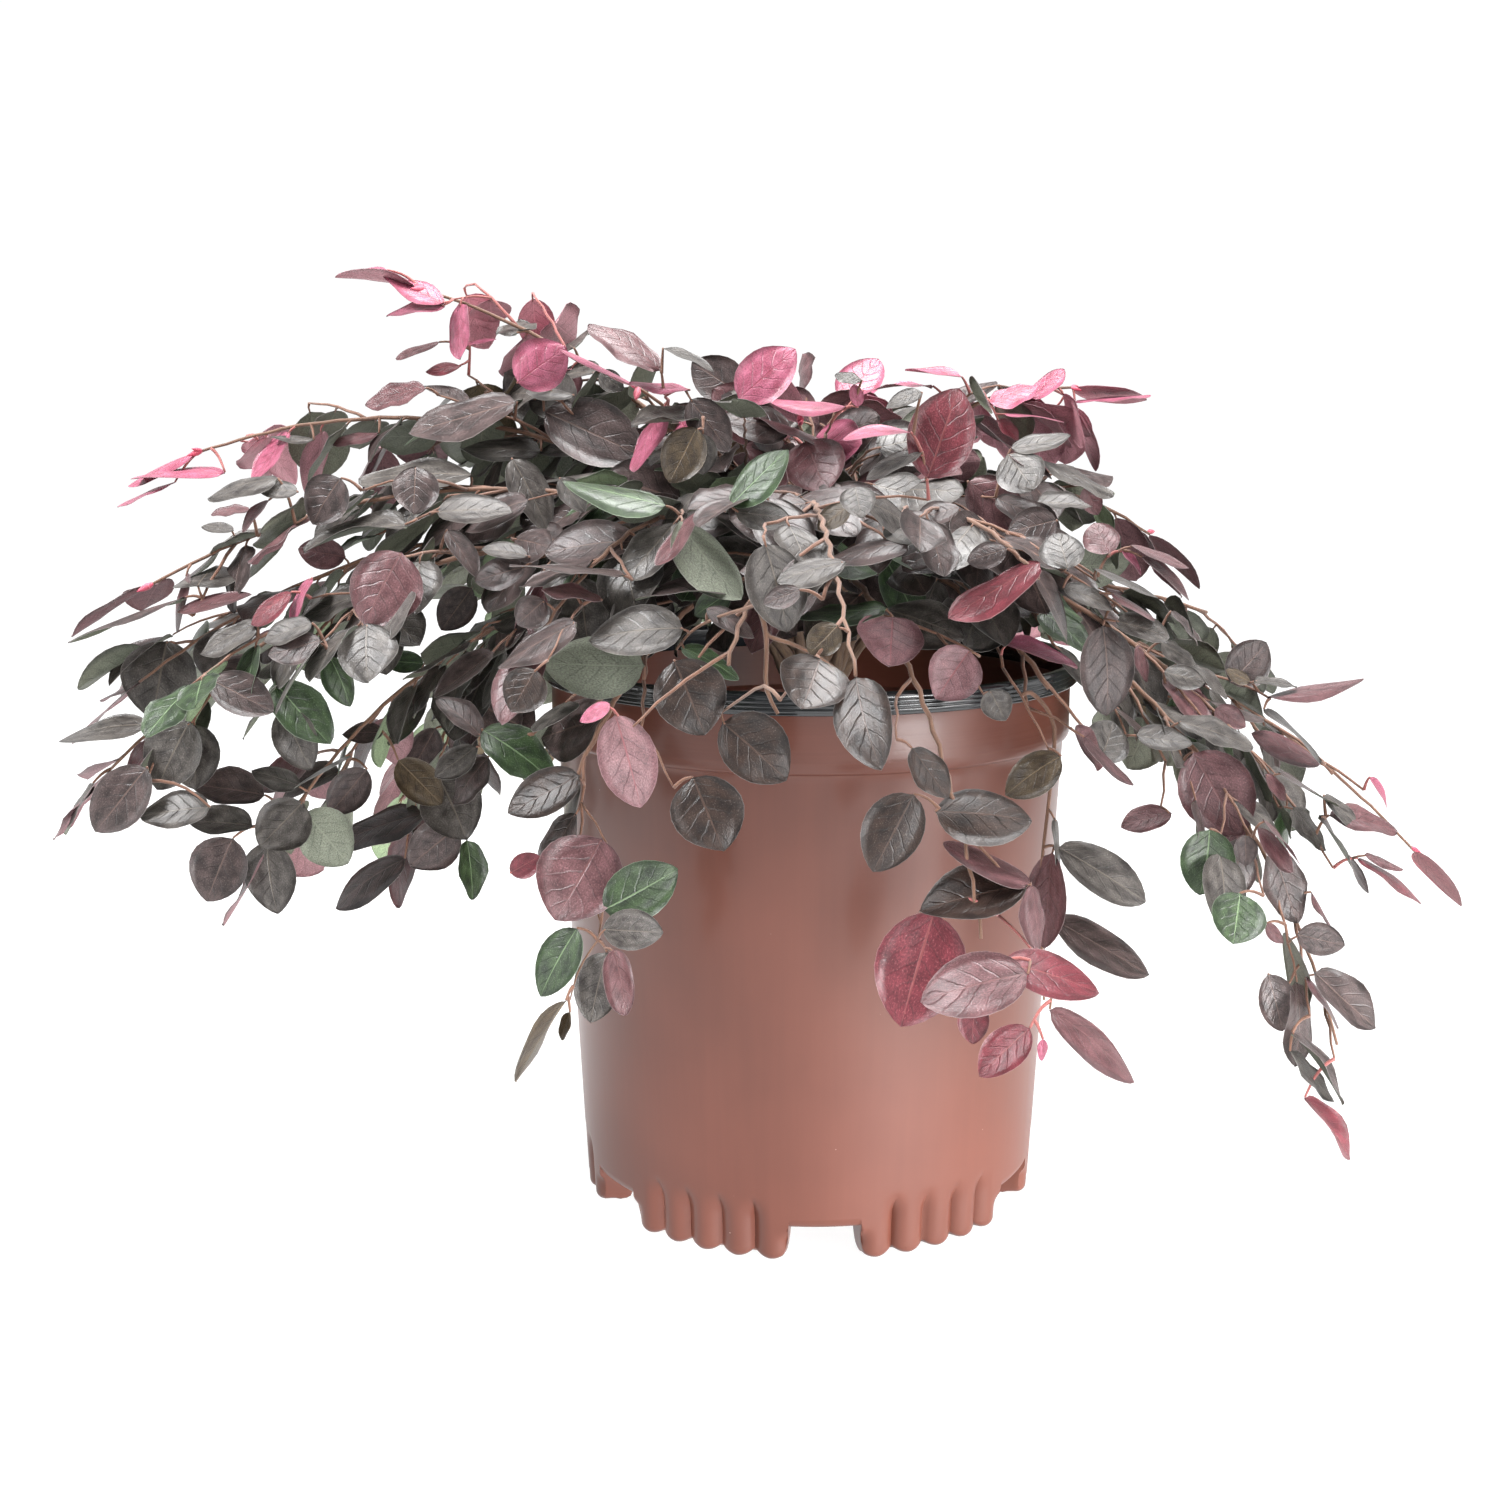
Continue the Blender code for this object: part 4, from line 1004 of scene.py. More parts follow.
    def shown_leaf(self, rng, kind, base_x, base_y, tip_x, tip_y, width, nearer=SHOWN_NEARER):
        """A leaf the photograph shows, held by a twiglet from the limb that is seen nearest its base."""
        best, hold = self.nearest_hold(base_x, base_y)
        if best is None:
            return
        width = max(width, THINNEST_SEEN)
        ahead = seen_at(best)[2] - nearer
        root = place_at(base_x, base_y, ahead)
        way, normal, length, ratio = turned_leaf(tip_x - base_x, tip_y - base_y, width)
        if kind == "under":
            kind, normal = "slate", -normal
        length *= ahead / FOCUS
        side = way.cross(normal) * length * ratio * LEAF_REACH
        middle = root + way * length * 0.5
        spots = [root, middle, root + way * length, middle + side, middle - side]
        for _ in range(POT_PUSHES):
            if all(clear_of_pot(spot, SHOWN_ROOM) for spot in spots):
                break
            spots = [spot - CAMERA_AHEAD * POT_PUSH for spot in spots]
        root, middle = spots[:2]
        for spot in spots:
            if abs(spot.x) >= SHOWN_HALF_LENGTH or abs(spot.y) >= SHOWN_HALF_DEPTH:
                return
            if not SHOWN_FOOT < spot.z < SHOWN_TOP:
                return
        self.keep_leaf(root, way, normal, length, ratio, kind, rng.uniform(*SHOWN_FOLD), rng)
        x, y, ahead = seen_at(middle)
        reach = SHOWN_REACH * max(width, math.hypot(tip_x - base_x, tip_y - base_y))
        self.shown.append((x, y, reach, ahead))
        gap = (root - best).length
        if gap > LONGEST_STALK:
            shares = (0.0, 0.2, 0.4, 0.6, 0.8, 1.0)
            bow = (UP * TWIGLET_RISE + CAMERA_AHEAD * TWIGLET_BACK) * gap
            points = [best + (root - best) * s + bow * math.sin(math.pi * s) for s in shares]
            radii = [lerp(TWIG_BASE, TWIG_END, s) for s in shares]
            twiglet = self.add_limb(twig_look(kind), points, radii, 6, *hold)
            twiglet.use(5)
            self.holds += [(points[step], twiglet, step) for step in range(1, 5)]
        else:
            self.stalk([best, best + (root - best) * 0.5, root + way * 0.0012], kind, *hold)

    def dress(self):
        """Put a leaf at every node that has room for one."""
        rng = random.Random("dress")
        for form, place, size in self.nodes:
            form(*place, rng, size)


def build_limbs(crown):
    """The limbs that carry something, one heap for each of their looks."""
    heaps = {}
    rng = random.Random("limbs")
    for limb in crown.limbs:
        if limb.used:
            add_tube(heaps.setdefault(limb.look, Heap()), *limb.kept(), limb.sides, rng)
    return heaps


# Leaves

def half_widths():
    """The blade's half width at each station: a broad oval with a blunt point."""
    power = 0.54 + 0.14 * ALONG ** 3
    return np.maximum(np.sin(math.pi * ALONG ** 0.88) ** power, np.where(ALONG < 0.5, 0.05, 0.012))


def leaf_patches():
    """Faces of a blade's two skins and of the rim that joins them, coloured as the upper skin's edge."""
    rows, columns = len(ALONG), len(ACROSS)
    skin = rows * columns
    top = grid_faces(rows, columns)[:, ::-1]
    under = top[:, (0, 3, 2, 1)] + skin
    edge = [row * columns for row in range(rows)]
    edge += [(rows - 1) * columns + column for column in range(1, columns)]
    edge += [row * columns + columns - 1 for row in range(rows - 2, -1, -1)]
    edge += list(range(columns - 2, 0, -1))
    edge = np.array(edge)
    after = np.roll(edge, -1)
    rim = np.stack((after + skin, edge + skin, edge, after), -1)
    return (top, top, 0), (under, under, 1), (rim, rim % skin, 0)


HALF_WIDTHS = half_widths()
LEAF_PATCHES = leaf_patches()


def leaf_skin(length, ratio, fold, seed):
    """Points of a leaf's two skins: x along it, y across it and z off its upper face."""
    rng = np.random.default_rng(int(seed * 1e9))
    along = ALONG[:, None] * np.ones(len(ACROSS))
    across = ACROSS[None, :] * np.ones(len(ALONG))[:, None]
    half = length * ratio / 2 * HALF_WIDTHS[:, None]
    lopsided = 1 + 0.07 * rng.uniform(-1, 1) * np.sign(across)
    x = length * (along + 0.02 * np.abs(across) * (1 - along))
    y = half * across * lopsided
    z = fold * np.abs(y)
    z -= rng.uniform(-0.10, 0.30) * half * across ** 2
    z -= length * rng.uniform(-0.06, 0.26) * (along - 0.25) ** 2
    wave = rng.uniform(0.0, 0.05) * length * ratio
    swing = rng.uniform(1.0, 2.2) * along + rng.random() * np.sign(across)
    z += wave * np.abs(across) ** 2 * np.sin(2 * math.pi * swing)
    twist = rng.uniform(-0.35, 0.35) * along
    turned_y = y * np.cos(twist) - z * np.sin(twist)
    turned_z = y * np.sin(twist) + z * np.cos(twist)
    bend = rng.uniform(-0.05, 0.05) * length * along ** 2
    thick = LEAF_THICKNESS * (0.4 + 0.6 * (1 - across ** 2))
    skins = [np.stack((x, turned_y + bend, turned_z + hand * thick / 2), -1) for hand in (1, -1)]
    return np.vstack([skin.reshape(-1, 3) for skin in skins])


def leaf_uvs(cell):
    """The upper skin in one cell of the shared map's upper half, the underside in its lower half."""
    column, row = cell % ATLAS, cell // ATLAS
    along = np.repeat(0.03 + 0.94 * ALONG, len(ACROSS))
    across = np.tile(0.03 + 0.47 * (ACROSS + 1), len(ALONG))
    low = np.column_stack(((column + along) / ATLAS, (row + across) / ATLAS))
    return np.vstack((low + (0.0, 0.5), low))


def build_leaves(crown, wanted):
    """The leaves of one colour, in heaps of no more than PIECE_LEAVES."""
    heaps = []
    for number, leaf in enumerate(leaf for leaf in crown.leaves if leaf.kind == wanted):
        if number % PIECE_LEAVES == 0:
            heaps.append(Heap())
        basis = np.array((leaf.way, leaf.normal.cross(leaf.way), leaf.normal))
        points = leaf_skin(leaf.length, leaf.ratio, leaf.fold, leaf.seed) @ basis + np.array(leaf.root)
        cell = int(leaf.seed * 8191) % (ATLAS * ATLAS // 2)
        heaps[-1].add(points, leaf_uvs(cell), *LEAF_PATCHES)
    return heaps


# Materials

class Nodes:
    """Shorthands for building the node tree of a material or a world."""

    def __init__(self, owner):
        owner.use_nodes = True
        self.tree = owner.node_tree

    def put(self, value, socket):
        """Link a node's output to a socket, or set the socket to a number, a vector or a colour."""
        if isinstance(value, bpy.types.NodeSocket):
            self.tree.links.new(value, socket)
        else:
            socket.default_value = (*value, 1.0) if socket.type == "RGBA" else value

    def node(self, kind, **values):
        """A shader node, with its own settings and its inputs given by their names."""
        made = self.tree.nodes.new("ShaderNode" + kind)
        for key, value in values.items():
            if hasattr(made, key):
                setattr(made, key, value)
            else:
                self.put(value, made.inputs[key.replace("_", " ")])
        return made

    def maths(self, operation, *values, clamp=False):
        made = self.node("Math", operation=operation, use_clamp=clamp)
        for value, socket in zip(values, made.inputs):
            self.put(value, socket)
        return made.outputs[0]

    def steeper(self, value, gain, shift):
        """A value times a gain, shifted and kept between 0 and 1."""
        return self.maths("MULTIPLY_ADD", value, gain, shift, clamp=True)

    def mix(self, share, first, second, kind="RGBA"):
        made = self.node("Mix", data_type=kind)
        ends = (6, 7) if kind == "RGBA" else (2, 3)
        for value, number in zip((share, first, second), (0, *ends)):
            self.put(value, made.inputs[number])
        return made.outputs[2 if kind == "RGBA" else 0]

    def mottle(self, place, scale, detail=2.0, roughness=0.5):
        """Soft noise between 0 and 1."""
        made = self.node("TexNoise", Vector=place, Scale=scale, Detail=detail, Roughness=roughness)
        return made.outputs["Fac"]

    def stretched(self, place, *scale):
        return self.node("Mapping", Vector=place, Scale=scale).outputs[0]

    def split(self, place):
        return self.node("SeparateXYZ", Vector=place).outputs


class Surface(Nodes):
    """A material round one shader, laid by the piece's own map or by its place in the object."""

    def __init__(self, name, coordinates, **values):
        self.material = bpy.data.materials.new(name)
        super().__init__(self.material)
        self.shader = self.tree.nodes["Principled BSDF"]
        self.set(**values)
        self.place = self.node("TexCoord").outputs[coordinates]

    def set(self, **values):
        for key, value in values.items():
            self.put(value, self.shader.inputs[key.replace("_", " ")])

    def done(self, colour, height, strength, distance):
        """Lay the colour and a fine relief on the shader."""
        bump = self.node("Bump", Strength=strength, Distance=distance, Height=height)
        self.set(Base_Color=colour, Normal=bump.outputs[0])
        return self.material


def leaf_material(name, dark, light, vein, edge, roughness):
    """A leaf's face: mottled blade, midrib, side veins, fine hairs and a pale edge, on the leaf's own map."""
    leaf = Surface(
        name, "UV", Roughness=roughness, Specular_IOR_Level=0.42, Sheen_Weight=0.03, Sheen_Roughness=0.40,
        Sheen_Tint=(0.86, 0.92, 0.92),
    )
    maths, mix, steeper = leaf.maths, leaf.mix, leaf.steeper
    u, v, _ = leaf.split(leaf.place)
    along, across = (maths("FRACT", maths("MULTIPLY", way, float(ATLAS))) for way in (u, v))
    off = maths("MULTIPLY", maths("ABSOLUTE", maths("SUBTRACT", across, 0.5)), 2.0)
    cloud = leaf.mottle(leaf.place, 20.0, 3.0)
    speck = leaf.mottle(leaf.place, 190.0, 2.0, 0.7)
    shade = maths("MULTIPLY_ADD", speck, 2.4, -0.18)
    blade = mix(steeper(cloud, 3.0, -1.0), dark, light)
    blade = leaf.node("VectorMath", operation="SCALE", Vector=blade, Scale=shade).outputs[0]

    wobble = maths("MULTIPLY_ADD", cloud, 0.10, -0.05)
    run = maths("ADD", maths("MULTIPLY_ADD", off, VEIN_SLANT, along), wobble)
    stripe = maths("ABSOLUTE", maths("SUBTRACT", maths("FRACT", maths("MULTIPLY", run, SIDE_VEINS)), 0.5))
    side_vein = maths("MULTIPLY", steeper(stripe, -11.0, 1.0), 0.55)
    side_vein = maths("MULTIPLY", side_vein, steeper(off, -0.9, 1.0))
    rib_width = maths("MULTIPLY_ADD", along, RIB_TIP_WIDTH - RIB_WIDTH, RIB_WIDTH)
    rib = maths("SUBTRACT", 1.0, maths("DIVIDE", off, rib_width), clamp=True)
    rib = maths("MINIMUM", maths("MULTIPLY", rib, 2.0), 0.62)

    colour = mix(side_vein, blade, tuple(0.35 * value for value in dark))
    colour = mix(maths("MULTIPLY", steeper(speck, 9.0, -5.3), LEAF_HAIRS), colour, edge)
    colour = mix(rib, colour, vein)
    hem = maths("MULTIPLY", maths("SUBTRACT", off, LEAF_HEM), 18.0, clamp=True)
    relief = maths("MULTIPLY_ADD", cloud, 0.8, maths("MULTIPLY", maths("MAXIMUM", rib, side_vein), -0.9))
    relief = maths("MULTIPLY_ADD", speck, 0.35, relief)
    return leaf.done(mix(hem, colour, edge), relief, 0.55, 0.0007)


def bark_material(name, dark, light, pores, roughness):
    """Twig and bark: streaks round and along the limb, with hairs and pores."""
    bark = Surface(name, "UV", Roughness=roughness, Sheen_Weight=0.2, Sheen_Roughness=0.6)
    place = bark.stretched(bark.place, 6.0, 42.0, 1.0)
    patches, fine = bark.mottle(place, 1.0, 3.0), bark.mottle(place, 7.0, 2.0, 0.7)
    colour = bark.mix(bark.steeper(patches, 2.4, -0.7), dark, light)
    return bark.done(bark.mix(bark.steeper(fine, 5.0, -3.0), colour, pores), fine, 0.5, 0.0004)


def plastic_material():
    """Satin moulded plastic: cloudy copper brown, scuffed, with drawn streaks in its collar."""
    plastic = Surface("pot_plastic", "Object", Coat_Weight=0.28, Coat_Roughness=0.17, Specular_IOR_Level=0.35)
    maths, mix, steeper, place = plastic.maths, plastic.mix, plastic.steeper, plastic.place
    cloud = plastic.mottle(place, 14.0, 3.0)
    upright = plastic.mottle(plastic.stretched(place, 260.0, 260.0, 7.0), 1.0)
    level = plastic.mottle(plastic.stretched(place, 9.0, 9.0, 900.0), 1.0)
    above_foot = maths("SUBTRACT", plastic.split(place)[2], COLLAR_FOOT - 0.0005)
    in_collar = maths("MULTIPLY", above_foot, 900.0, clamp=True)
    lines = mix(in_collar, upright, level, "FLOAT")
    tone = maths("MULTIPLY_ADD", cloud, 0.9, maths("MULTIPLY_ADD", lines, 0.22, -0.11))
    colour = mix(steeper(tone, 1.4, -0.15), (0.071, 0.0203, 0.0124), (0.118, 0.0368, 0.0232))
    dust = maths("MULTIPLY", steeper(plastic.mottle(place, 420.0, 1.0, 0.6), 18.0, -14.9), 0.5)
    plastic.set(Roughness=maths("MULTIPLY_ADD", cloud, 0.08, maths("MULTIPLY_ADD", lines, 0.05, 0.38)))
    relief = maths("MULTIPLY_ADD", upright, 0.10, maths("MULTIPLY", level, in_collar))
    return plastic.done(mix(dust, colour, (0.62, 0.50, 0.44)), relief, 0.30, 0.0003)


def rim_material():
    """The lip's glossy black, drawn in level lines."""
    rim = Surface("rim_black", "Object", Roughness=0.16, Coat_Weight=0.5, Coat_Roughness=0.08)
    drawn = rim.mottle(rim.stretched(rim.place, 6.0, 6.0, 700.0), 1.0)
    return rim.done(rim.mix(drawn, (0.004, 0.0045, 0.005), (0.016, 0.018, 0.021)), drawn, 0.03, 0.0003)


def ground_material(name, dark, light, scale):
    """Compost, bark chips or grains, mottled and matt."""
    ground = Surface(name, "Object", Roughness=0.9)
    grain = ground.mottle(ground.place, scale, 4.0, 0.65)
    return ground.done(ground.mix(ground.steeper(grain, 2.6, -0.8), dark, light), grain, 0.6, 0.0008)


# Pot

def inner_radius(height):
    """The inside of the wall, which steps in behind the grooves of the feet."""
    return wall_radius(height) - WALL - FOOT_STEP * smooth(GROOVE_TOP + 0.007, GROOVE_TOP - 0.004, height)


def foot_columns():
    """Azimuths round the pot, finest on the feet, the place of each across its foot, and its share down."""
    half = FOOT_SPAN / 2
    turn = 2 * math.pi / FOOT_COUNT
    steps = np.linspace(0, math.pi / 2, 7)[1:]
    on_foot = np.linspace(-1, 1, 81) * (half - END_ROUND)
    end_after = half - END_ROUND + END_ROUND * np.sin(steps)
    gap = np.linspace(half, turn - half, 12)[1:-1]
    offsets = np.concatenate((-end_after[::-1], on_foot, end_after, gap))
    down = np.concatenate((np.cos(steps)[::-1], np.ones(len(on_foot)), np.cos(steps), np.zeros(len(gap))))
    angles = np.concatenate([FIRST_FOOT - math.pi / 2 + turn * foot + offsets for foot in range(FOOT_COUNT)])
    return angles, np.tile(offsets / half, FOOT_COUNT), np.tile(down, FOOT_COUNT)


def cusp(share):
    """0 on the middle of a foot's round ribs, rising steeply to where two ribs meet."""
    across = ((share + 1) / 2 * FLUTES) % 1.0 * 2 - 1
    sunk = 0.55 * (1 - np.sqrt(1 - (0.97 * across) ** 2)) + 0.36 * across ** 2
    return np.where(np.abs(share) <= 1.0, sunk, 0.0)


def groove(share, height):
    """Depth of the grooves between a foot's ribs; they end in the wall above, the outer ones lower."""
    depth = GROOVE_DEPTH * cusp(share) * smooth(GROOVE_TOP, GROOVE_TOP - 0.012, height)
    outer_half = np.abs(share) > 1 - 1 / FLUTES
    return np.where(outer_half, depth * smooth(FLOOR_UNDERSIDE, 0.0080, height), depth)


def pot_profile():
    """Radius and height of the skin from the floor inside, over the wall's top, to above the feet outside."""
    floor_top = FLOOR_UNDERSIDE + FLOOR
    inner_foot = inner_radius(floor_top)
    inner_collar = COLLAR_RADIUS - WALL
    rows = [(0.060, floor_top), (0.080, floor_top)]
    rows += [(inner_foot - 0.002, floor_top), (inner_foot, floor_top + 0.002)]
    heights = np.concatenate((np.linspace(floor_top + 0.004, 0.040, 9), np.linspace(0.060, COLLAR_FOOT, 5)))
    rows += [(inner_radius(height), height) for height in heights]
    rows += [(inner_collar, height) for height in np.linspace(COLLAR_FOOT + 0.002, BAND_FOOT, 4)]
    rows += [(COLLAR_RADIUS - 0.0008, BAND_FOOT + 0.002), (COLLAR_RADIUS + 0.0002, BAND_FOOT + 0.001)]
    rows += [(COLLAR_RADIUS + 0.0001, height) for height in np.linspace(BAND_FOOT, COLLAR_FOOT + 0.0014, 6)]
    rows += [(COLLAR_RADIUS - 0.0003, COLLAR_FOOT + 0.0006), (COLLAR_RADIUS - 0.0010, COLLAR_FOOT + 0.0001)]
    rows += [(WALL_TOP_RADIUS + 0.0004, COLLAR_FOOT - 0.0004), (WALL_TOP_RADIUS, COLLAR_FOOT - 0.0016)]
    rows += [(wall_radius(height), height) for height in np.linspace(COLLAR_FOOT - 0.004, 0.036, 14)]
    return rows


def pot_skin():
    """The pot as one skin: its profile, then down round the feet and the gaps between."""
    angles, share, down = foot_columns()
    rings = [ring_points(radius, angles, height) for radius, height in pot_profile()]
    for step in np.linspace(0, 1, 26):
        height = lerp(lerp(SPLIT_TOP, GAP_EDGE, step), lerp(SPLIT_TOP, FOOT_ROUND, step), down)
        rings.append(ring_points(wall_radius(height) - groove(share, height), angles, height))
    lift = SCALLOP * cusp(share)
    for angle in np.linspace(0, math.pi / 2, 7)[1:]:
        sunk, dropped = 1 - math.cos(angle), math.sin(angle)
        foot_edge = wall_radius(FOOT_ROUND) - groove(share, 0.0) - FOOT_ROUND * sunk
        gap_edge = WALL_FOOT_RADIUS - GAP_ROUND * sunk
        foot_height = FOOT_ROUND * (1 - dropped) + lift * dropped
        height = lerp(GAP_EDGE - GAP_ROUND * dropped, foot_height, down)
        rings.append(ring_points(lerp(gap_edge, foot_edge, down), angles, height))
    for between, on_foot, lifted, height in UNDERSIDE:
        height = lerp(FLOOR_UNDERSIDE, lift * lifted + height, down)
        rings.append(ring_points(lerp(between, on_foot, down), angles, height))
    count = len(angles)
    faces = grid_faces(len(rings), count, closed=True)[:, ::-1].tolist()
    faces.append([len(rings) * count - count + step for step in range(count)][::-1])
    faces.append(list(range(count)))
    return np.vstack(rings), faces


def build_pot():
    """The pot's skin with its drain holes cut through the floor between the feet."""
    points, faces = pot_skin()
    mesh = new_mesh("pot", points.tolist(), faces)
    skin = bmesh.new()
    skin.from_mesh(mesh)
    bmesh.ops.recalc_face_normals(skin, faces=skin.faces)
    skin.to_mesh(mesh)
    skin.free()
    drains = bmesh.new()
    for number in range(FOOT_COUNT):
        angle = math.degrees(FIRST_FOOT) - 90 + 360 * (number + 0.5) / FOOT_COUNT
        bmesh.ops.create_cone(
            drains, cap_ends=True, segments=32, radius1=DRAIN_RADIUS, radius2=DRAIN_RADIUS, depth=0.012,
            matrix=Matrix.Translation(polar(angle, DRAIN_CIRCLE, FLOOR_UNDERSIDE)),
        )
    drain_mesh = bpy.data.meshes.new("drains")
    drains.to_mesh(drain_mesh)
    drains.free()
    body, cutter = add_object("pot_body", mesh), add_object("drains", drain_mesh)
    cut = body.modifiers.new("drains", "BOOLEAN")
    cut.operation = "DIFFERENCE"
    cut.object = cutter
    done = bpy.data.meshes.new_from_object(body.evaluated_get(bpy.context.evaluated_depsgraph_get()))
    bpy.data.objects.remove(body)
    bpy.data.objects.remove(cutter)
    done.shade_smooth()
    done.set_sharp_from_angle(angle=math.radians(28))
    return done


def build_rim():
    """The glossy lip: a rounded band, ridged round its outside, that hooks over the collar."""
    profile = [(COLLAR_RADIUS + 0.0001, BAND_FOOT + 0.0006), (RIM_RADIUS - 0.0008, BAND_FOOT)]
    profile.append((RIM_RADIUS - 0.0002, BAND_FOOT + 0.0006))
    for height in np.linspace(BAND_FOOT + 0.0012, POT_HEIGHT - 0.0028, 25):
        ridge = abs(math.sin(math.pi * RIDGES * (height - BAND_FOOT - 0.0012) / (RIM_BAND - 0.0040)))
        profile.append((RIM_RADIUS - RIDGE_DEPTH * (1 - math.sqrt(ridge)), height))
    for angle in np.linspace(0, math.pi, 13)[1:]:
        radius = RIM_RADIUS - RIM_ROUND + RIM_ROUND * math.cos(angle)
        profile.append((radius, POT_HEIGHT - RIM_ROUND + RIM_ROUND * math.sin(angle)))
    profile.append((RIM_RADIUS - 0.0053, POT_HEIGHT - 0.005))
    inner_collar = COLLAR_RADIUS - WALL
    profile += [(inner_collar - 0.0003, BAND_FOOT - 0.002), (inner_collar + 0.0003, BAND_FOOT - 0.0024)]
    angles = np.arange(RIM_COLUMNS) * 2 * math.pi / RIM_COLUMNS
    points = np.vstack([ring_points(radius, angles, height) for radius, height in profile])
    faces = grid_faces(len(profile), RIM_COLUMNS, closed=True)[:, ::-1]
    return new_mesh("pot_rim", points.tolist(), faces.tolist())


# Soil

def soil_height(radius):
    """Height of the compost, which dips to the pot's wall."""
    return SOIL_TOP - SOIL_EDGE_DROP * (radius / SOIL_RADIUS) ** 2


def build_soil():
    """The compost: its rough surface, and its sides and floor inside the pot."""
    rings, turn = 46, 120
    points = []
    for radius in np.linspace(0.0, 1.0, rings) ** 0.8 * SOIL_RADIUS:
        for step in range(turn):
            place = polar(360 * step / turn, radius, 0.0)
            rough = 0.0020 * noise.noise(place * 70) + 0.0012 * noise.noise(place * 210)
            points.append((place.x, place.y, soil_height(radius) - 0.0012 + rough))
    lower = (0.185, 0.10, 0.040, 0.033, 0.027, FLOOR_UNDERSIDE + FLOOR + 0.0004)
    for height in lower:
        radius = min(SOIL_RADIUS - 0.0004, inner_radius(height) - 0.0004)
        points += [polar(360 * step / turn, radius, height)[:] for step in range(turn)]
    rings += len(lower)
    faces = grid_faces(rings, turn, closed=True)[:, ::-1].tolist()
    faces.append([(rings - 1) * turn + step for step in range(turn)])
    return new_mesh("soil", points, faces)


def add_chip(heap, place, size, rng):
    """A flake of bark or a grain: a bent box with uneven corners."""
    corners = np.array([(x, y, z) for z in (-1, 1) for y in (-1, 1) for x in (-1, 1)], float)
    corners *= np.array(size) / 2
    corners += np.array([[rng.uniform(-0.2, 0.2) * side for side in size] for _ in corners])
    way = Vector([rng.uniform(-1, 1) for _ in range(3)])
    turn = np.array(way.normalized().to_track_quat("X", "Z").to_matrix())
    if size[2] < 0.4 * size[1]:
        angle, tilt = rng.uniform(0, 2 * math.pi), rng.uniform(-0.45, 0.45)
        cosine, sine = math.cos(angle), math.sin(angle)
        turn = np.array(((cosine, sine, 0), (-sine, cosine, tilt), (0, -tilt, 1)))
    faces = np.array(((0, 2, 3, 1), (4, 5, 7, 6), (0, 1, 5, 4), (2, 6, 7, 3), (0, 4, 6, 2), (1, 3, 7, 5)))
    heap.add(corners @ turn + np.array(place), np.full((8, 2), 0.5), (faces, faces, 0))


def build_mulch():
    """Bark chips and pale grains on the compost."""
    rng = random.Random("mulch")
    chips, grains = Heap(), Heap()
    for number in range(MULCH_COUNT):
        radius = MULCH_RADIUS * math.sqrt(rng.random())
        if radius < MULCH_INNER_RADIUS:
            continue
        angle = rng.uniform(0, 2 * math.pi)
        x, y = radius * math.cos(angle), radius * math.sin(angle)
        height = soil_height(radius)
        if number % 9:
            size = (rng.uniform(0.004, 0.013), rng.uniform(0.002, 0.006), rng.uniform(0.0008, 0.002))
            add_chip(chips, (x, y, height + rng.uniform(-0.0012, 0.0006)), size, rng)
        else:
            side = rng.uniform(0.0014, 0.0030)
            add_chip(grains, (x, y, height - 0.0004), (side, side, side), rng)
    return chips, grains


# Bark

def build_stem():
    """The stem, with its root flare and ridged bark."""
    rows, sides = 64, 40
    foot, top = SOIL_TOP - 0.003, STEM_FORK + 0.0008
    heights = [lerp(foot, top, (row / (rows - 1)) ** 1.25) for row in range(rows)]
    points = []
    for height in heights:
        axis = stem_axis(height)
        near = max(0.0, 1 - (height - SOIL_TOP) / FLARE_HEIGHT)
        rounded = max(0.0, (height - STEM_FORK + 0.003) / 0.0038)
        for side in range(sides):
            angle = 2 * math.pi * side / sides
            cosine, sine = math.cos(angle), math.sin(angle)
            lobes = 1 + 0.16 * near * math.sin(5 * angle + 0.7) + 0.07 * near * math.sin(3 * angle)
            ridge = noise.noise(Vector((cosine * 2.2, sine * 2.2, height * 130)))
            fine = noise.noise(Vector((cosine * 6, sine * 6, height * 420)))
            bark = 1 + 0.05 * ridge + 0.035 * fine
            radius = stem_radius(height) * lobes * bark * (1 - 0.35 * rounded ** 2)
            points.append((axis.x + radius * cosine, axis.y + radius * sine, height))
    ends = (stem_axis(heights[0]), stem_axis(heights[-1]) + UP * 0.0006)
    heap = Heap()
    heap.add_skin(rows, sides, points, ends, np.linspace(0.1, 0.35, rows))
    return heap


def build_boughs(shoots):
    """The boughs, with their collars and nodes."""
    heap = Heap()
    for shoot in shoots:
        rng = random.Random("bark_" + shoot.name)
        points = [shoot.joint - shoot.spur * 0.0020, shoot.joint]
        points += [shoot.inner(step / BOUGH_STEPS) for step in range(BOUGH_STEPS + 1)] + [shoot.outer(0.012)]
        radii = []
        for number in range(len(points)):
            share = number / (len(points) - 1)
            collar = 0.55 * math.exp(-((number / 2.6) ** 2))
            knob = 0.14 if number % 5 == 4 else 0.0
            radii.append(lerp(BOUGH_RADIUS, BOUGH_TIP_RADIUS, share) * (0.96 + collar + knob))
        add_tube(heap, points, radii, 10, rng, relief=0.16)
    return heap


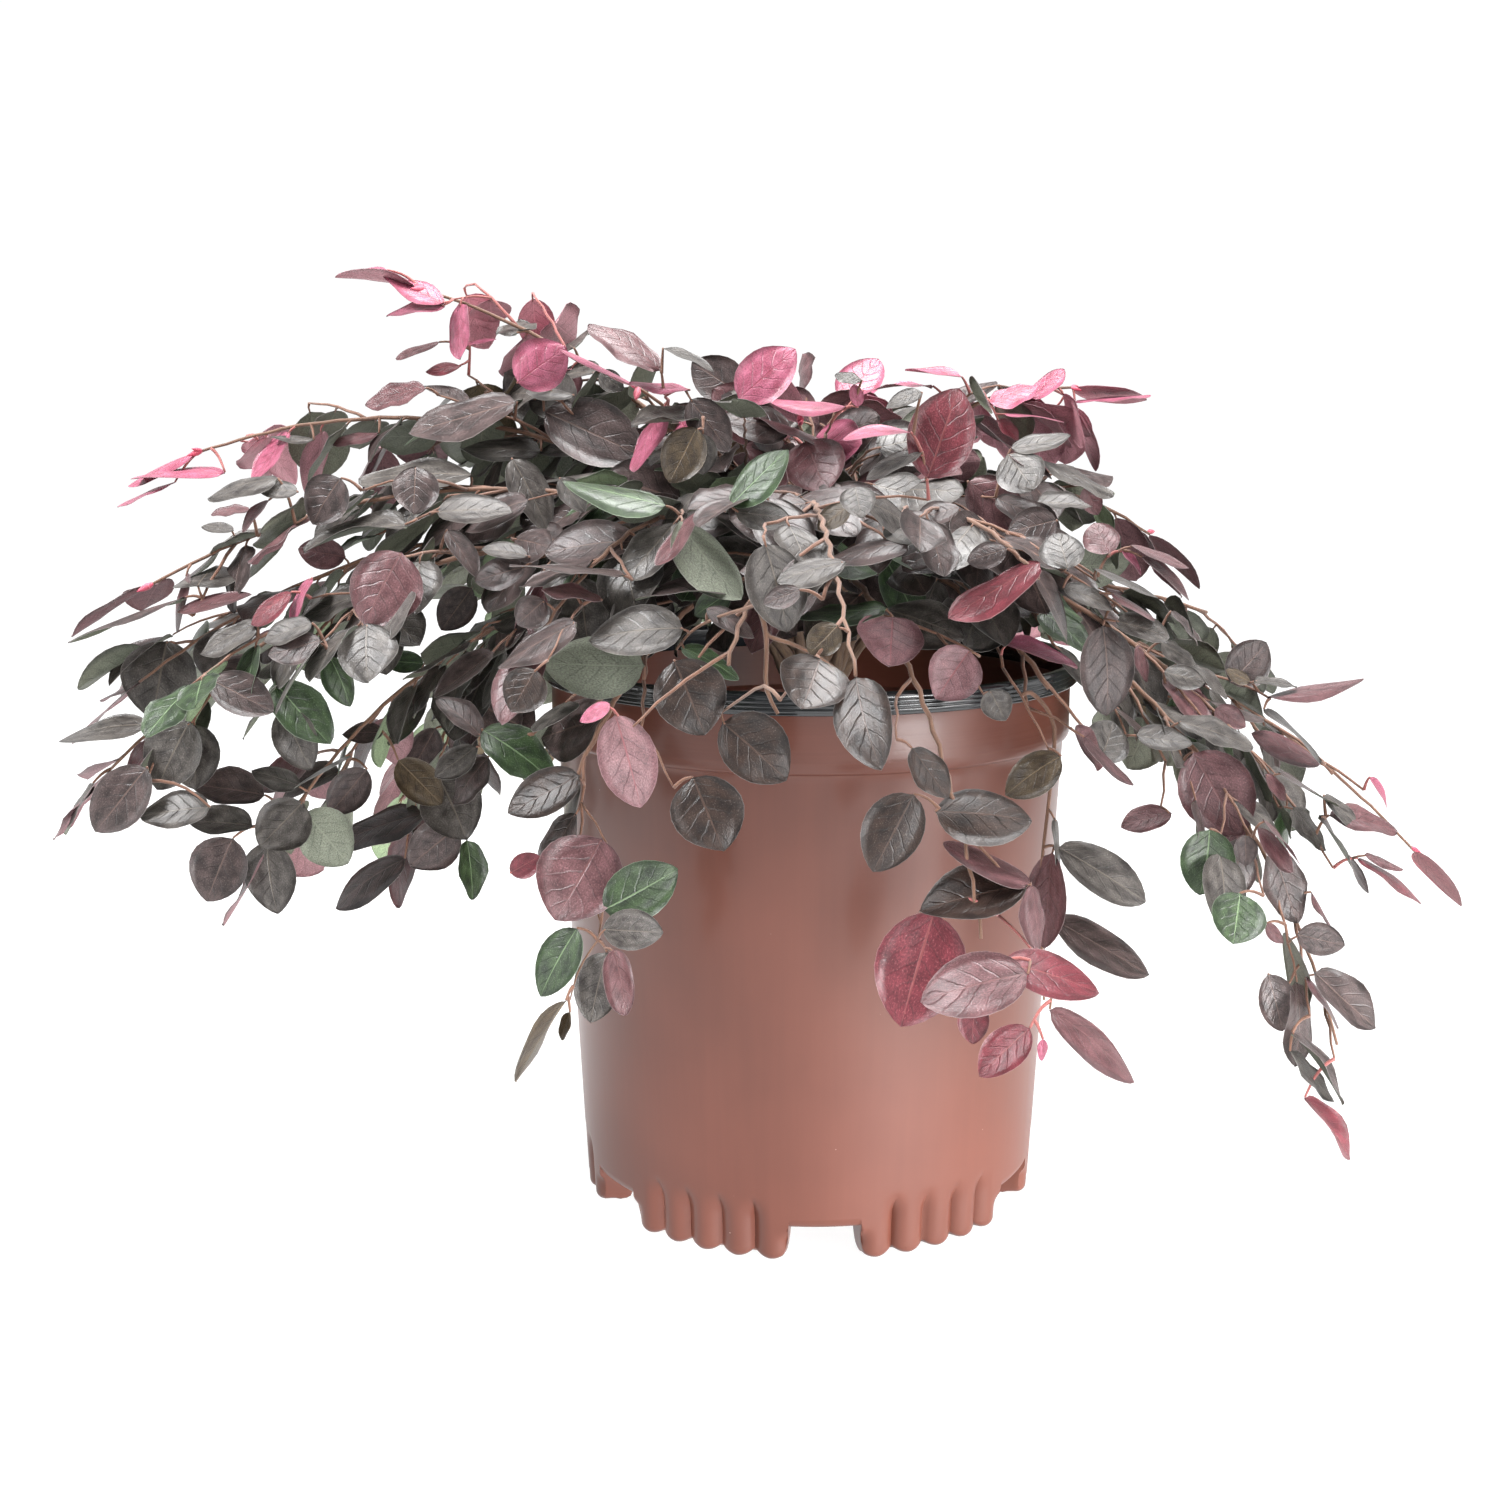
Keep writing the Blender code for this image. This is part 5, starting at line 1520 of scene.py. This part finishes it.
def build_buds(shoots):
    """Folded red buds at the young tips."""
    heap = Heap()
    for shoot in shoots:
        if shoot.name not in YOUNG or shoot.young in ("dusk", "ink") or shoot.name in CUT_SHORT:
            continue
        rng = random.Random("bud_" + shoot.name)
        spot = shoot.outer(shoot.stem_end() - 0.01)
        for _ in range(2 if shoot.young == "rose" else 1):
            way = branch_way(shoot.heading, rng.choice((-1, 1)), rng.uniform(20, 60), rng.uniform(-60, 20))
            way = (way - UP * 0.3).normalized()
            length = rng.uniform(0.005, 0.009)
            points = [spot + way * length * share for share in (0, 0.12, 0.35, 0.6, 0.85, 1.0)]
            add_tube(heap, points, [length * r for r in (0.05, 0.13, 0.19, 0.16, 0.08, 0.01)], 7, rng)
    return heap


# Stage, lights and camera

def add_lamp(name, place, aim, size, power, tint=(1.0, 1.0, 1.0), spread=180, shadow=True):
    data = bpy.data.lights.new(name, "AREA")
    data.shape = "RECTANGLE"
    data.size, data.size_y = size
    data.energy = power
    data.spread = math.radians(spread)
    data.color = tint
    data.use_shadow = shadow
    lamp = add_object(name, data)
    lamp.location = place
    lamp.rotation_euler = (Vector(aim) - Vector(place)).to_track_quat("-Z", "Y").to_euler()


def build_stage():
    """A white floor and world, the lamps and the photograph's camera."""
    scene = bpy.context.scene
    far = 6
    corners = [(-far, -far, 0), (far, -far, 0), (far, far, 0), (-far, far, 0)]
    mesh = bpy.data.meshes.new("floor")
    mesh.from_pydata(corners, [], [(0, 1, 2, 3)])
    white = Surface(
        "floor_white", "Object", Roughness=0.9, Base_Color=(0.25, 0.25, 0.25), Specular_IOR_Level=0.0,
        Emission_Color=(1.0, 1.0, 1.0), Emission_Strength=0.90,
    )
    mesh.materials.append(white.material)
    add_object("floor", mesh)

    scene.world = bpy.data.worlds.new("studio")
    sky = Nodes(scene.world)
    height = sky.split(sky.node("TexCoord").outputs["Generated"])[2]
    glow = sky.node(
        "MapRange", interpolation_type="SMOOTHSTEP", Value=height, From_Min=0.25, From_Max=0.50, To_Min=1.03,
        To_Max=0.40,
    )
    background = sky.tree.nodes["Background"]
    sky.put((1.0, 1.0, 1.0), background.inputs["Color"])
    sky.put(glow.outputs[0], background.inputs["Strength"])

    add_lamp("key", (-1.10, -0.50, 1.7), (0, 0, 0.25), (0.6, 0.6), 64.0, (0.98, 0.99, 1.0))
    add_lamp("sheen", (0.70, -0.75, 0.06), (0, 0, -0.20), (0.80, 0.24), 6.5, spread=55, shadow=False)
    add_lamp("left", (-1.4, -0.3, 0.50), (-0.15, 0, 0.30), (0.5, 0.9), 6.0)
    add_lamp("fill", (1.3, -0.9, 0.9), (0.1, 0, 0.2), (0.8, 1.4), 20.0, (1.0, 0.97, 0.96))
    add_lamp("top", (0.2, 0.2, 1.8), (0, 0, 0.3), (0.9, 0.9), 66.0)
    scene.view_settings.view_transform = "Standard"
    scene.view_settings.look = "None"
    data = bpy.data.cameras.new("camera")
    data.lens = CAMERA_LENS
    data.sensor_width = CAMERA_SENSOR
    camera = add_object("camera", data)
    camera.location = CAMERA_PLACE
    camera.rotation_euler = (math.pi / 2 - CAMERA_TILT, 0.0, 0.0)
    scene.camera = camera


def grow_crown(shoots):
    crown = Crown(shoots)
    for number, shoot in enumerate(shoots):
        crown.shoot(number, shoot)
    rng = random.Random("shown")
    for twig in SHOWN_TWIGS:
        crown.shown_twig(*twig)
    for leaf in SHOWN:
        crown.shown_leaf(rng, *leaf)
    crown.dress()
    return crown


def build_plant():
    """Every piece of the plant and its pot, in place of the solids."""
    shoots = [Shoot(name) for name in SHOOTS]
    crown = grow_crown(shoots)
    new_piece("pot", build_pot(), [plastic_material()], ["pot"])
    new_piece("pot_rim", build_rim(), [rim_material()])
    ground = {name: ground_material(name, *look) for name, look in GROUND_LOOKS.items()}
    chips, grains = build_mulch()
    new_piece("soil", build_soil(), [ground["compost"]], ["soil"])
    new_piece("bark_chips", chips, [ground["bark_chip"]])
    new_piece("pale_grains", grains, [ground["pale_grain"]])

    bark = {piece: bark_material(*look) for piece, look in BARK_LOOKS.items()}
    new_piece("stem", build_stem(), [bark["bark"]], ["trunk"])
    new_piece("boughs", build_boughs(shoots), [bark["bark"]], ["bough_" + name for name in SHOOTS])
    for look, heap in build_limbs(crown).items():
        new_piece(look, heap, [bark[look]])
    new_piece("buds", build_buds(shoots), [bark["buds"]])

    foliage = ["foliage_" + name for name in SHOOTS]
    for kind, (dark, light, vein, under) in LEAF_LOOKS.items():
        edge = tuple(min(1.0, 0.20 + 0.9 * value) for value in vein)
        dim, rib = tuple(0.8 * value for value in under), tuple(min(1, 1.3 * value) for value in under)
        upper = leaf_material("leaf_" + kind, dark, light, vein, edge, 0.35)
        below = leaf_material("leaf_" + kind + "_under", dim, under, rib, edge, 0.60)
        for number, heap in enumerate(build_leaves(crown, kind)):
            new_piece("leaves_%s_%d" % (kind, number + 1), heap, [upper, below], foliage)
            foliage = []


def main():
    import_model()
    build_plant()
    build_stage()


main()
